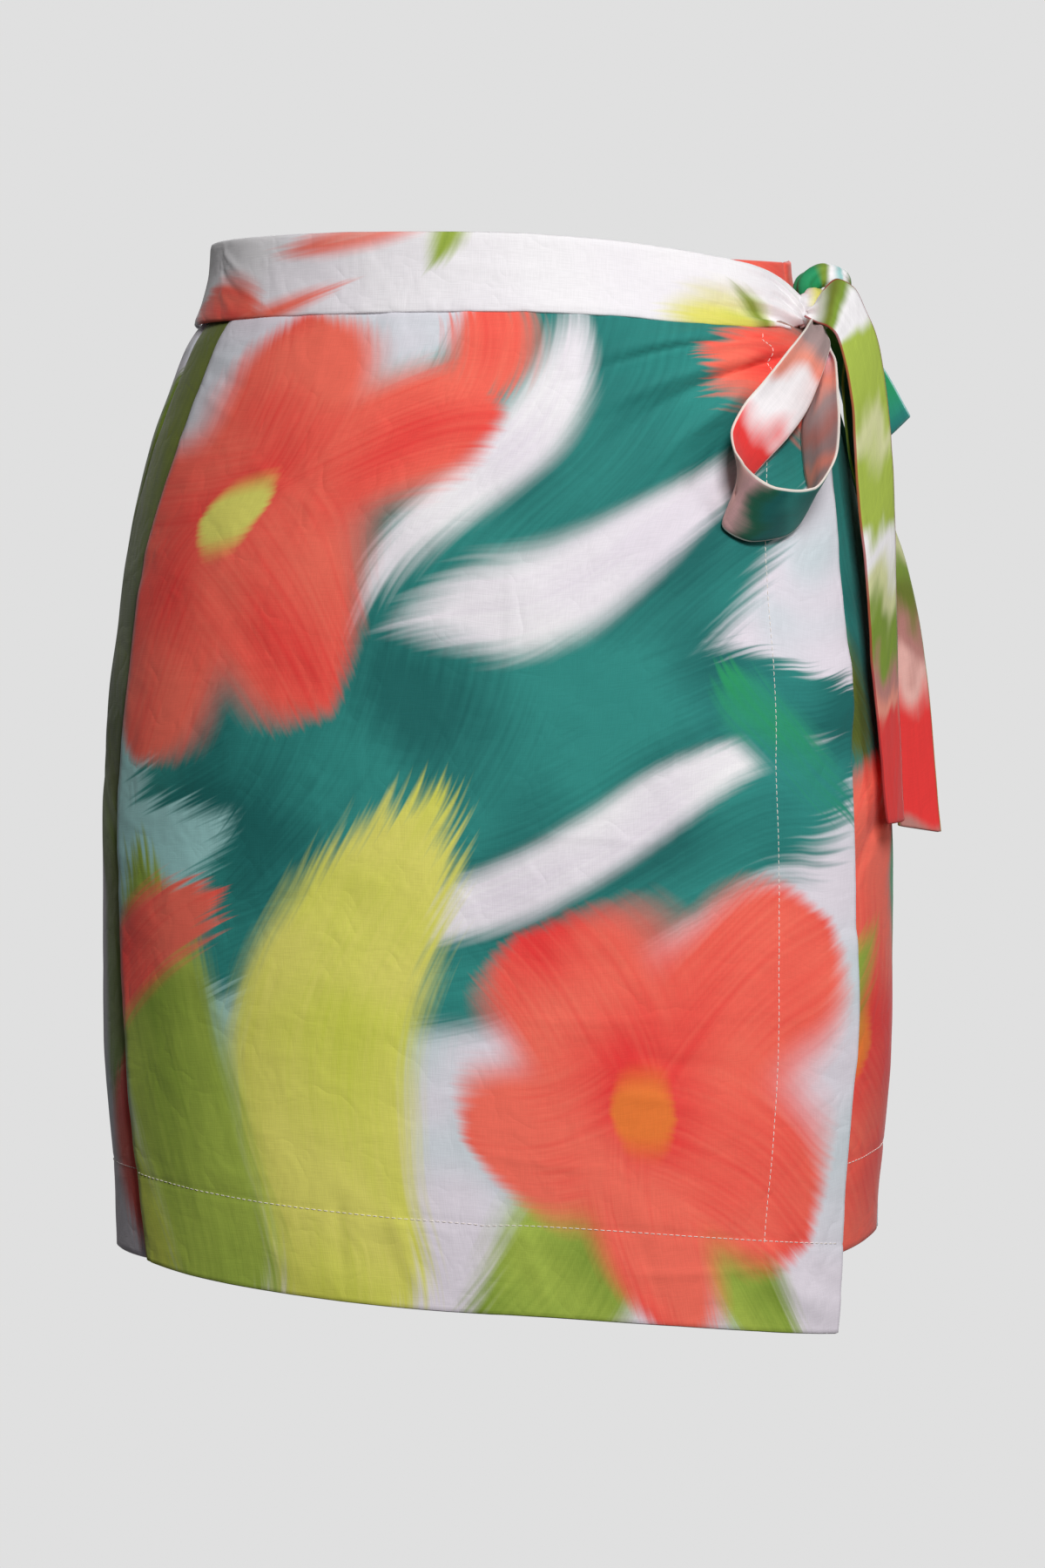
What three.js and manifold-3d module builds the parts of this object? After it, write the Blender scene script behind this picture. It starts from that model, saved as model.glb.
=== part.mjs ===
// Wrap skort: shorts with their own waistband, a wrap front panel on a second waistband that
// overlaps it, and ties knotted in a bow at the wearer's left side. Every cloth piece is a thin wall.
// Millimetres, +Z up, +X to the wearer's left, the front faces -Y. The origin is the middle of the
// waist opening, level with the top of the waistband.
import * as THREE from 'three';
import { mergeVertices } from 'three/addons/utils/BufferGeometryUtils.js';
import Module from 'manifold-3d';

const wasm = await Module();
wasm.setup();

// ---- driving sizes -------------------------------------------------------------------------
const SEAM = 0.3;                 // space between neighbouring pieces at a seam
const CLOTH = 1.2;                // panel wall
const BAND_WALL = 2.0;            // waistband wall: two layers and interfacing
const TIE_WALL = 1.6;             // tie wall: two layers
const TIE_WIDTH = 28;
const BAND_FOOT = -36;            // height of the seam under the shorts' waistband
const SHORTS_HEM = -448;
const HEM_RISE_LEFT = 11;         // how much higher the leg hems are at the side seams
const HEM_RISE_RIGHT = 4;
const CROTCH = -286;
const RISE_START = -212;          // where the centre seams start to curve in to the crotch
const WRAP_HEM_SIDE = -446;       // wrap hem at the sewn side
const WRAP_HEM_CORNER = -477;     // wrap hem at the free lower corner
const WRAP_HEM_CURVE = 1.4;       // the hem falls faster near the sewn side
const LEG_GAP = 5;                // half the gap between the leg hems
const LEG_FRONT = 0.86;           // depth of a leg as a share of the form's, to the front
const LEG_BACK = 0.93;            // and to the back
const INSEAM_REACH = 60;          // how far from the middle the inner leg seam's space is kept
const BACK_LOOP_LEAN = 41.8;      // degrees that the folded back loop's width leans from level
const WRAP_ROWS = 1.35;           // rows of the wrap panel crowd towards its head by this power

// The worn form, section by section. half: half width; front, back: depth each way from the
// middle; power: 2 is an ellipse, more is squarer; shift: sideways place of the middle.
const FORM = [
  { z: 8, half: 127.6, front: 92, back: 92, power: 2.0, shift: 0 },
  { z: -12, half: 128.6, front: 93, back: 93.5, power: 2.0, shift: 0 },
  { z: -25, half: 131.3, front: 94.5, back: 96, power: 2.0, shift: 0 },
  { z: -36, half: 135.0, front: 96.5, back: 99, power: 2.0, shift: -0.4 },
  { z: -46, half: 140.6, front: 99, back: 103, power: 2.0, shift: -0.6 },
  { z: -61, half: 146.3, front: 102, back: 108, power: 2.03, shift: -0.9 },
  { z: -92, half: 156.1, front: 107, back: 118, power: 2.08, shift: -1.6 },
  { z: -123, half: 162.6, front: 110, back: 126, power: 2.15, shift: -2.1 },
  { z: -162, half: 168.0, front: 113, back: 132, power: 2.2, shift: -2.5 },
  { z: -216, half: 174.2, front: 114, back: 133, power: 2.3, shift: -2.5 },
  { z: -278, half: 175.8, front: 113, back: 129, power: 2.4, shift: -2.5 },
  { z: -356, half: 175.0, front: 111, back: 122, power: 2.45, shift: -2.5 },
  { z: -426, half: 169.6, front: 109, back: 116, power: 2.5, shift: -2.5 },
  { z: -490, half: 168.0, front: 107, back: 113, power: 2.5, shift: -2.5 },
];

// Side seams of the shorts: degrees ahead of the side, on both sides.
const SIDE_SEAM = [
  { z: -36, ahead: 14 },
  { z: -92, ahead: 11 },
  { z: -162, ahead: 5 },
  { z: -260, ahead: 2 },
  { z: -450, ahead: 1 },
];

// Edges of the wrap panel as shares of the half width, left and right of the middle,
// and how far the cloth stands off the shorts at each edge and in the middle.
const WRAP_EDGES = [
  { z: -36, left: 0.875, right: 0.968, offLeft: 0.5, offMiddle: 0.5, offRight: 0.8 },
  { z: -62, left: 0.882, right: 0.945, offLeft: 0.5, offMiddle: 0.8, offRight: 2.0 },
  { z: -92, left: 0.893, right: 0.910, offLeft: 0.5, offMiddle: 1.0, offRight: 2.5 },
  { z: -147, left: 0.932, right: 0.876, offLeft: 0.5, offMiddle: 1.0, offRight: 3.0 },
  { z: -193, left: 0.933, right: 0.868, offLeft: 0.5, offMiddle: 1.0, offRight: 3.5 },
  { z: -240, left: 0.938, right: 0.862, offLeft: 0.5, offMiddle: 1.5, offRight: 4.0 },
  { z: -298, left: 0.935, right: 0.864, offLeft: 0.5, offMiddle: 3.0, offRight: 4.5 },
  { z: -356, left: 0.921, right: 0.863, offLeft: 0.6, offMiddle: 5.0, offRight: 5.0 },
  { z: -410, left: 0.911, right: 0.859, offLeft: 1.0, offMiddle: 7.0, offRight: 6.0 },
  { z: -480, left: 0.868, right: 0.845, offLeft: 2.5, offMiddle: 9.0, offRight: 7.0 },
];

// The wrap waistband: its top and foot heights round the front, and how far it stands off.
// turn: degrees from the middle of the front, towards the wearer's left.
const WRAP_BAND = [
  { turn: -95, top: 0, foot: -35.5, off: 0.7 },
  { turn: -60, top: -1.6, foot: -36.5, off: 0.7 },
  { turn: -30, top: -2.7, foot: -37, off: 0.7 },
  { turn: 0, top: -4.1, foot: -37.2, off: 0.7 },
  { turn: 20, top: -6.5, foot: -38.5, off: 0.7 },
  { turn: 35, top: -9.5, foot: -40.5, off: 0.8 },
  { turn: 50, top: -12.5, foot: -41, off: 1.0 },
  { turn: 60, top: -15, foot: -40, off: 1.4 },
  { turn: 67, top: -19, foot: -39, off: 2.4 },
  { turn: 73, top: -25, foot: -37.5, off: 4.2 },
];

// Folds that the knot draws in the wrap panel. Each runs from the knot (x1, z1) to where it
// fades out (x2, z2). lift: height of the ridge, or depth of the trough if negative.
const DRAG_FOLDS = [
  { x1: 131, z1: -39, x2: 28, z2: -68, lift: -2.6, width: 5 },
  { x1: 128, z1: -46, x2: 52, z2: -66, lift: 3.0, width: 7 },
  { x1: 127, z1: -52, x2: 66, z2: -78, lift: -2.6, width: 5 },
  { x1: 124, z1: -62, x2: 80, z2: -96, lift: 1.6, width: 8 },
];

// The front loop of the bow, from the knot round to the knot: its near edge, its far edge
// and the depth of the far edge. The width is less where the knot gathers it.
const FRONT_LOOP = [
  { nearX: 136, nearZ: -36, farX: 140, farZ: -37, farY: -28, width: 8 },
  { nearX: 131, nearZ: -43, farX: 143, farZ: -47, farY: -51, width: 20 },
  { nearX: 123, nearZ: -53, farX: 140, farZ: -58, farY: -64, width: 26 },
  { nearX: 111, nearZ: -68, farX: 132, farZ: -77, farY: -71, width: TIE_WIDTH },
  { nearX: 103, nearZ: -78, farX: 123, farZ: -90, farY: -78, width: TIE_WIDTH },
  { nearX: 97, nearZ: -91, farX: 111, farZ: -103, farY: -86, width: TIE_WIDTH },
  { nearX: 98, nearZ: -98, farX: 104, farZ: -111, farY: -91, width: TIE_WIDTH },
  { nearX: 101, nearZ: -103, farX: 98, farZ: -119, farY: -96, width: TIE_WIDTH },
  { nearX: 106, nearZ: -108, farX: 94, farZ: -129, farY: -99, width: TIE_WIDTH },
  { nearX: 117, nearZ: -114, farX: 107, farZ: -136, farY: -95, width: TIE_WIDTH },
  { nearX: 126, nearZ: -115, farX: 120, farZ: -134, farY: -87, width: TIE_WIDTH },
  { nearX: 133, nearZ: -114, farX: 128, farZ: -128, farY: -80, width: TIE_WIDTH },
  { nearX: 140, nearZ: -106, farX: 133, farZ: -116, farY: -72, width: TIE_WIDTH },
  { nearX: 144, nearZ: -96, farX: 131, farZ: -104, farY: -69, width: TIE_WIDTH },
  { nearX: 145, nearZ: -82, farX: 130, farZ: -89, farY: -68, width: 27 },
  { nearX: 145, nearZ: -69, farX: 132, farZ: -75, farY: -60, width: 24 },
  { nearX: 145, nearZ: -58, farX: 136, farZ: -63, farY: -50, width: 18 },
  { nearX: 143, nearZ: -48, farX: 139, farZ: -51, farY: -33, width: 12 },
  { nearX: 141, nearZ: -37, farX: 139, farZ: -38, farY: -22, width: 6 },
];

// The back loop, folded flat behind the ties: its middle line and width.
const BACK_LOOP = [
  { x: 141, y: -20, z: -31, width: 8 },
  { x: 151, y: -11, z: -45, width: 16 },
  { x: 162, y: -4, z: -66, width: 24 },
  { x: 169, y: 0, z: -81, width: 27 },
  { x: 171, y: 4, z: -85, width: TIE_WIDTH },
  { x: 169, y: 8, z: -81, width: 27 },
  { x: 161, y: 6, z: -65, width: 22 },
  { x: 151, y: -3, z: -46, width: 12 },
  { x: 141, y: -14, z: -34, width: 6 },
];

// The two hanging tie ends: inner (left) and outer (right) edge at each height.
const FRONT_END = [
  { lx: 133, ly: -41, lz: -35, rx: 135, ry: -41, rz: -32 },
  { lx: 138, ly: -44, lz: -38, rx: 140, ry: -42, rz: -24 },
  { lx: 142, ly: -46, lz: -40, rx: 147, ry: -33, rz: -18 },
  { lx: 145, ly: -48, lz: -43, rx: 154, ry: -28, rz: -21 },
  { lx: 147, ly: -47, lz: -47, rx: 160, ry: -27, rz: -32 },
  { lx: 149, ly: -50, lz: -55, rx: 165, ry: -28, rz: -45 },
  { lx: 152, ly: -56, lz: -76, rx: 169, ry: -32, rz: -72 },
  { lx: 154, ly: -60, lz: -110, rx: 171, ry: -37, rz: -107 },
  { lx: 157, ly: -61, lz: -145, rx: 172, ry: -38, rz: -142 },
  { lx: 160, ly: -61, lz: -184, rx: 173, ry: -37, rz: -182 },
  { lx: 164, ly: -61, lz: -222, rx: 174, ry: -36, rz: -221 },
  { lx: 167, ly: -60, lz: -257, rx: 176, ry: -35, rz: -256 },
];
const BACK_END = [
  { lx: 144, ly: -24, lz: -30, rx: 147, ry: -20, rz: -25 },
  { lx: 152, ly: -27, lz: -44, rx: 158, ry: -16, rz: -34 },
  { lx: 158, ly: -31, lz: -64, rx: 166, ry: -12, rz: -56 },
  { lx: 162, ly: -34, lz: -94, rx: 169, ry: -10, rz: -90 },
  { lx: 164, ly: -34, lz: -122, rx: 172, ry: -9, rz: -120 },
  { lx: 167, ly: -34, lz: -146, rx: 179, ry: -10, rz: -144 },
  { lx: 171, ly: -32, lz: -188, rx: 187, ry: -11, rz: -186 },
  { lx: 173, ly: -30, lz: -240, rx: 192, ry: -11, rz: -241 },
  { lx: 174, ly: -29, lz: -258, rx: 194, ry: -12, rz: -261 },
];

// The knot, and the tie that comes over its top out of the side of the waistband.
const KNOT = { x: 137.5, y: -28, z: -31, halfX: 8.5, halfY: 10, halfZ: 10 };
const KNOT_STRAND = [
  { x: 132, y: -20, z: -25, radius: 4.0 },
  { x: 134, y: -23, z: -19, radius: 5.0 },
  { x: 141, y: -23, z: -15.5, radius: 5.0 },
  { x: 148, y: -20, z: -16.5, radius: 4.6 },
  { x: 152, y: -17, z: -23, radius: 4.0 },
];

// ---- small tools ---------------------------------------------------------------------------
// A smooth curve through one column of a table, with no overshoot between its rows.
function column(rows, at, name) {
  const x = rows.map((row, index) => (at === undefined ? index : row[at]));
  const y = rows.map((row) => row[name]);
  if (x[0] > x[x.length - 1]) {
    x.reverse();
    y.reverse();
  }
  const last = x.length - 1;
  const step = x.slice(1).map((value, i) => (y[i + 1] - y[i]) / (value - x[i]));
  const slope = y.map((_, i) => {
    if (i === 0) return step[0];
    if (i === last) return step[last - 1];
    const product = step[i - 1] * step[i];
    return product <= 0 ? 0 : (2 * product) / (step[i - 1] + step[i]);
  });
  return (value) => {
    const v = Math.min(Math.max(value, x[0]), x[last]);
    let i = 0;
    while (i < last - 1 && v > x[i + 1]) i += 1;
    const h = x[i + 1] - x[i];
    const t = (v - x[i]) / h;
    return y[i] * (1 + 2 * t) * (1 - t) ** 2 + y[i + 1] * t * t * (3 - 2 * t)
      + h * slope[i] * t * (1 - t) ** 2 - h * slope[i + 1] * t * t * (1 - t);
  };
}

function columns(rows, at, names) {
  return Object.fromEntries(names.map((name) => [name, column(rows, at, name)]));
}

const mix = (a, b, t) => a + (b - a) * t;
const rad = THREE.MathUtils.degToRad;

function ease(from, to, value) {
  const t = Math.min(Math.max((value - from) / (to - from), 0), 1);
  return t * t * (3 - 2 * t);
}

// A closed thin wall. point(u, v) is the outer face, u counter-clockwise seen from above and
// v downwards, both 0 to 1; the wall's inner face lies one thickness further in.
function wall(point, across, down, thickness, hold = (p) => p) {
  const e = 1e-3;
  const outer = [];
  const inner = [];
  for (let i = 0; i <= across; i += 1) {
    for (let j = 0; j <= down; j += 1) {
      const u = i / across;
      const v = j / down;
      const along = point(Math.min(u + e, 1), v).sub(point(Math.max(u - e, 0), v));
      const fall = point(u, Math.min(v + e, 1)).sub(point(u, Math.max(v - e, 0)));
      const out = fall.cross(along).normalize();
      const p = point(u, v);
      inner.push(hold(p.clone().addScaledVector(out, -thickness)));
      outer.push(hold(p));
    }
  }
  const count = outer.length;
  const at = (i, j) => i * (down + 1) + j;
  const index = [];
  const quad = (a, b, c, d) => index.push(a, b, c, a, c, d);
  for (let i = 0; i < across; i += 1) {
    for (let j = 0; j < down; j += 1) {
      quad(at(i, j), at(i, j + 1), at(i + 1, j + 1), at(i + 1, j));
      quad(count + at(i, j), count + at(i + 1, j), count + at(i + 1, j + 1), count + at(i, j + 1));
    }
    quad(at(i, 0), at(i + 1, 0), count + at(i + 1, 0), count + at(i, 0));
    quad(at(i + 1, down), at(i, down), count + at(i, down), count + at(i + 1, down));
  }
  for (let j = 0; j < down; j += 1) {
    quad(at(0, j + 1), at(0, j), count + at(0, j), count + at(0, j + 1));
    quad(at(across, j), at(across, j + 1), count + at(across, j + 1), count + at(across, j));
  }
  const geometry = new THREE.BufferGeometry();
  const flat = [...outer, ...inner].flatMap((p) => [p.x, p.y, p.z]);
  geometry.setAttribute('position', new THREE.Float32BufferAttribute(flat, 3));
  geometry.setIndex(index);
  return geometry;
}

// A tie is a wall with its point function on the middle of the cloth.
function strip(edges, steps) {
  const middle = (u, v) => {
    const { near, far } = edges(v);
    return near.clone().lerp(far, u);
  };
  const e = 1e-3;
  const lifted = (u, v) => {
    const along = middle(Math.min(u + e, 1), v).sub(middle(Math.max(u - e, 0), v));
    const fall = middle(u, Math.min(v + e, 1)).sub(middle(u, Math.max(v - e, 0)));
    return middle(u, v).addScaledVector(fall.cross(along).normalize(), TIE_WALL / 2);
  };
  return wall(lifted, 2, steps, TIE_WALL);
}

function toSolid(geometry) {
  const bare = geometry.clone();
  bare.deleteAttribute('normal');
  bare.deleteAttribute('uv');
  const merged = mergeVertices(bare, 1e-4);
  return new wasm.Manifold(new wasm.Mesh({
    numProp: 3,
    vertProperties: new Float32Array(merged.attributes.position.array),
    triVerts: new Uint32Array(merged.index.array),
  }));
}

function toGeometry(solid) {
  const mesh = solid.getMesh();
  const geometry = new THREE.BufferGeometry();
  geometry.setAttribute('position', new THREE.BufferAttribute(new Float32Array(mesh.vertProperties), 3));
  geometry.setIndex(new THREE.BufferAttribute(new Uint32Array(mesh.triVerts), 1));
  return geometry;
}

// ---- the worn form -------------------------------------------------------------------------
const form = columns(FORM, 'z', ['half', 'front', 'back', 'power', 'shift']);

// A point on the form: turn is 0 at the middle of the front and 90 at the wearer's left.
function formPoint(turn, z) {
  const power = 2 / form.power(z);
  const side = Math.sin(rad(turn));
  const ahead = Math.cos(rad(turn));
  const depth = ahead > 0 ? form.front(z) : form.back(z);
  return new THREE.Vector2(
    form.shift(z) + form.half(z) * Math.sign(side) * Math.abs(side) ** power,
    -depth * Math.sign(ahead) * Math.abs(ahead) ** power,
  );
}

// The same point, moved straight out of the section by off.
function offForm(turn, z, off) {
  const before = formPoint(turn - 0.5, z);
  const after = formPoint(turn + 0.5, z);
  const way = after.sub(before).normalize();
  const p = formPoint(turn, z);
  return new THREE.Vector3(p.x + way.y * off, p.y - way.x * off, z);
}

// The turn at which the form reaches a share of its half width, on the front.
function turnAtShare(share, z) {
  return THREE.MathUtils.radToDeg(Math.asin(share ** (form.power(z) / 2)));
}

// ---- the shorts ----------------------------------------------------------------------------
const sideSeam = column(SIDE_SEAM, 'z', 'ahead');

// How deep the form is at a sideways place x, in front of the middle or behind it.
function formDepth(x, z, ahead) {
  const power = form.power(z);
  const share = Math.min(Math.abs(x - form.shift(z)) / form.half(z), 1);
  return (ahead ? form.front(z) : form.back(z)) * (1 - share ** power) ** (1 / power);
}

// One quarter of the shorts. side: 1 wearer's left, -1 right. front: true or false.
// share runs from the side seam to the middle. The sideways places go round like a leg tube all
// the way down; the depth is the form's above the rise and the leg tube's below the crotch, so
// the centre seam curves back to the crotch in between.
function shortsPoint(side, front, share, z) {
  const legness = ease(RISE_START, CROTCH - 6, z);
  const gap = ease(CROTCH, SHORTS_HEM, z) * LEG_GAP;
  const outer = side * formPoint(side * 90, z).x;
  const legHalf = (outer - gap) / 2;
  const seam = side * formPoint(side * (90 - sideSeam(z)), z).x;
  const start = Math.acos(Math.min((seam - gap) / legHalf - 1, 1));
  const around = mix(front ? start : -start, Math.PI, share);
  const x = side * (gap + legHalf * (1 + Math.cos(around)));
  const ahead = front || around < 0;
  const legDepth = (ahead ? form.front(z) * LEG_FRONT : form.back(z) * LEG_BACK) * Math.abs(Math.sin(around));
  const depth = mix(formDepth(x, z, ahead), legDepth, legness);
  return new THREE.Vector3(x, ahead ? -depth : depth, z);
}

function shortsPanel(side, front) {
  const across = 14;
  const down = 18;
  const forward = (side > 0) === front;       // runs counter-clockwise from the middle seam
  const point = (u, v) => {
    const share = forward ? 1 - u : u;
    const rise = (side > 0 ? HEM_RISE_LEFT : HEM_RISE_RIGHT) * (1 - ease(0, 0.4, share));
    const z = mix(BAND_FOOT - SEAM, SHORTS_HEM + rise, v);
    const p = shortsPoint(side, front, share, z);
    p.y += (front ? -1 : 1) * (SEAM / 2 + 0.02) * (1 - share);
    return p;
  };
  // Keep both faces on their own side of the middle seams and of the inner leg seam.
  const hold = (p) => {
    p.x = side * Math.max(side * p.x, SEAM / 2);
    if (p.z < CROTCH + 12 && side * p.x < INSEAM_REACH) {
      p.y = front ? Math.min(p.y, -SEAM / 2) : Math.max(p.y, SEAM / 2);
    }
    return p;
  };
  return wall(point, across, down, CLOTH, hold);
}

// The shorts' own waistband, in a front and a back piece joined over the side seams.
const underTop = (turn) => {
  const tilt = -3.6 - 3.6 * Math.sin(rad(turn));
  const dip = -8 * Math.max(Math.cos(rad(turn)), 0) ** 0.7;
  const rise = 5 * Math.max(-Math.cos(rad(turn)), 0);
  return tilt + dip + rise;
};

function shortsBand(front) {
  const seamTurn = 90 - sideSeam(BAND_FOOT);
  const gapTurn = 0.08;                       // degrees that make the seam's space
  const start = front ? -seamTurn + gapTurn : seamTurn + gapTurn;
  const end = front ? seamTurn - gapTurn : 360 - seamTurn - gapTurn;
  const point = (u, v) => {
    const turn = mix(start, end, u);
    return offForm(turn, mix(underTop(turn), BAND_FOOT, v), 0);
  };
  return wall(point, 30, 2, BAND_WALL);
}

// ---- the wrap ------------------------------------------------------------------------------
const wrap = columns(WRAP_EDGES, 'z', ['left', 'right', 'offLeft', 'offMiddle', 'offRight']);
const wrapBand = columns(WRAP_BAND, 'turn', ['top', 'foot', 'off']);

// How far the drag folds lift or sink the cloth at a place on the front.
function dragFold(x, z) {
  let lift = 0;
  for (const fold of DRAG_FOLDS) {
    const dx = fold.x2 - fold.x1;
    const dz = fold.z2 - fold.z1;
    const length = Math.hypot(dx, dz);
    const along = ((x - fold.x1) * dx + (z - fold.z1) * dz) / length;
    const aside = ((x - fold.x1) * dz - (z - fold.z1) * dx) / length;
    const fade = ease(-6, 6, along) * (1 - ease(length * 0.35, length, along));
    lift += fold.lift * fade * Math.exp(-((aside / fold.width) ** 2));
  }
  return lift;
}

function wrapPoint(u, v) {
  const hem = mix(WRAP_HEM_CORNER, WRAP_HEM_SIDE, (1 - u) ** WRAP_HEM_CURVE);
  const spread = (z) => mix(-turnAtShare(wrap.left(z), z), turnAtShare(wrap.right(z), z), u);
  const head = wrapBand.foot(spread(wrapBand.foot(spread(BAND_FOOT)))) - 3 * SEAM;
  const z = mix(head, hem, v ** WRAP_ROWS);
  const turn = spread(z);
  const edge = u < 0.5 ? wrap.offLeft(z) : wrap.offRight(z);
  const stand = mix(wrap.offMiddle(z), edge, ease(0, 1, Math.abs(2 * u - 1)));
  const p = formPoint(turn, z);
  const free = ease(0, 1, u * 6) * ease(0, 0.06, v);
  const fold = dragFold(p.x, z);
  const lift = Math.max(stand + fold * free, 0.4);
  return offForm(turn, z, lift + CLOTH);
}

function wrapWaistband() {
  const first = WRAP_BAND[0].turn;
  const last = WRAP_BAND[WRAP_BAND.length - 1].turn;
  const point = (u, v) => {
    const turn = mix(first, last, u);
    const z = mix(wrapBand.top(turn), wrapBand.foot(turn), v);
    return offForm(turn, z, wrapBand.off(turn) + BAND_WALL);
  };
  return wall(point, 36, 3, BAND_WALL);
}

// ---- the bow -------------------------------------------------------------------------------
function frontLoopEdges() {
  const names = ['nearX', 'nearZ', 'farX', 'farZ', 'farY', 'width'];
  const loop = columns(FRONT_LOOP, undefined, names);
  return (v) => {
    const t = v * (FRONT_LOOP.length - 1);
    const far = new THREE.Vector3(loop.farX(t), loop.farY(t), loop.farZ(t));
    const seen = Math.hypot(loop.nearX(t) - far.x, loop.nearZ(t) - far.z);
    const reach = Math.sqrt(Math.max(loop.width(t) ** 2 - seen ** 2, 1));
    const near = new THREE.Vector3(loop.nearX(t), far.y - reach, loop.nearZ(t));
    return { near, far };
  };
}

function backLoopEdges() {
  const loop = columns(BACK_LOOP, undefined, ['x', 'y', 'z', 'width']);
  const across = new THREE.Vector3(Math.cos(rad(BACK_LOOP_LEAN)), 0, Math.sin(rad(BACK_LOOP_LEAN)));
  return (v) => {
    const t = v * (BACK_LOOP.length - 1);
    const middle = new THREE.Vector3(loop.x(t), loop.y(t), loop.z(t));
    const half = loop.width(t) / 2;
    return {
      near: middle.clone().addScaledVector(across, -half),
      far: middle.clone().addScaledVector(across, half),
    };
  };
}

function endEdges(rows) {
  const end = columns(rows, undefined, ['lx', 'ly', 'lz', 'rx', 'ry', 'rz']);
  return (v) => {
    const t = v * (rows.length - 1);
    return {
      near: new THREE.Vector3(end.lx(t), end.ly(t), end.lz(t)),
      far: new THREE.Vector3(end.rx(t), end.ry(t), end.rz(t)),
    };
  };
}

// The knot is an egg with shallow wrap marks; grow makes the room that its neighbours leave.
function knotBall(grow) {
  const ball = new THREE.SphereGeometry(1, 20, 12);
  const position = ball.attributes.position;
  for (let i = 0; i < position.count; i += 1) {
    const p = new THREE.Vector3().fromBufferAttribute(position, i);
    const mark = 1 + 0.05 * Math.sin(5 * (p.x + p.z) + 1);
    position.setXYZ(
      i,
      KNOT.x + p.x * (KNOT.halfX * mark + grow),
      KNOT.y + p.y * (KNOT.halfY * mark + grow),
      KNOT.z + p.z * (KNOT.halfZ * mark + grow),
    );
  }
  return toSolid(ball);
}

// The strand over the knot: a round roll along a curve, thinner to its ends, closed by caps.
function knotStrand(grow) {
  const sides = 12;
  const steps = 14;
  const row = columns(KNOT_STRAND, undefined, ['x', 'y', 'z', 'radius']);
  const at = (t) => new THREE.Vector3(row.x(t), row.y(t), row.z(t));
  const last = KNOT_STRAND.length - 1;
  const points = [];
  for (let i = 0; i <= steps; i += 1) {
    const t = (i / steps) * last;
    const way = at(Math.min(t + 0.01, last)).sub(at(Math.max(t - 0.01, 0))).normalize();
    const up = new THREE.Vector3(0, -1, 0).cross(way).normalize();
    const out = way.clone().cross(up).normalize();
    for (let k = 0; k < sides; k += 1) {
      const angle = (k / sides) * 2 * Math.PI;
      const radius = row.radius(t) + grow;
      const place = at(t).addScaledVector(up, radius * Math.cos(angle));
      points.push(place.addScaledVector(out, radius * Math.sin(angle)));
    }
  }
  const index = [];
  for (let i = 0; i < steps; i += 1) {
    for (let k = 0; k < sides; k += 1) {
      const a = i * sides + k;
      const b = i * sides + ((k + 1) % sides);
      index.push(a, b, b + sides, a, b + sides, a + sides);
    }
  }
  for (let k = 1; k < sides - 1; k += 1) {
    index.push(0, k + 1, k);
    index.push(steps * sides, steps * sides + k, steps * sides + k + 1);
  }
  const geometry = new THREE.BufferGeometry();
  const flat = points.flatMap((p) => [p.x, p.y, p.z]);
  geometry.setAttribute('position', new THREE.Float32BufferAttribute(flat, 3));
  geometry.setIndex(index);
  return toSolid(geometry);
}

// ---- assembly ------------------------------------------------------------------------------
const skort = new THREE.Group();

function add(name, geometry, color, roughness = 0.85) {
  const material = new THREE.MeshStandardMaterial({ color, roughness, metalness: 0, side: THREE.DoubleSide });
  const mesh = new THREE.Mesh(geometry, material);
  mesh.name = name;
  geometry.computeVertexNormals();
  skort.add(mesh);
}

for (const [side, word, color] of [[1, 'left', 0xd8483f], [-1, 'right', 0x75803a]]) {
  add(`shorts_front_${word}`, shortsPanel(side, true), color);
  add(`shorts_back_${word}`, shortsPanel(side, false), color);
}
add('shorts_waistband_front', shortsBand(true), 0xe24a3e);
add('shorts_waistband_back', shortsBand(false), 0xe24a3e);
const strandRoom = knotStrand(SEAM);
const knotRoom = knotBall(SEAM);
const trim = (geometry) => toGeometry(toSolid(geometry).subtract(knotRoom).subtract(strandRoom));
add('wrap_panel', trim(wall(wrapPoint, 40, 26, CLOTH)), 0x2c8474);
add('wrap_waistband', trim(wrapWaistband()), 0xf1ecec);
add('tie_knot', toGeometry(knotBall(0).subtract(strandRoom)), 0xf3efe4);
add('tie_knot_strand', toGeometry(knotStrand(0)), 0x1f9a70);
add('bow_loop_front', trim(strip(frontLoopEdges(), 48)), 0xe9705c);
add('bow_loop_back', trim(strip(backLoopEdges(), 24)), 0x4fae9c);
add('tie_end_front', trim(strip(endEdges(FRONT_END), 30)), 0xa9b84f);
add('tie_end_back', trim(strip(endEdges(BACK_END), 22)), 0x8b9a3c);

export default skort;
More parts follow.
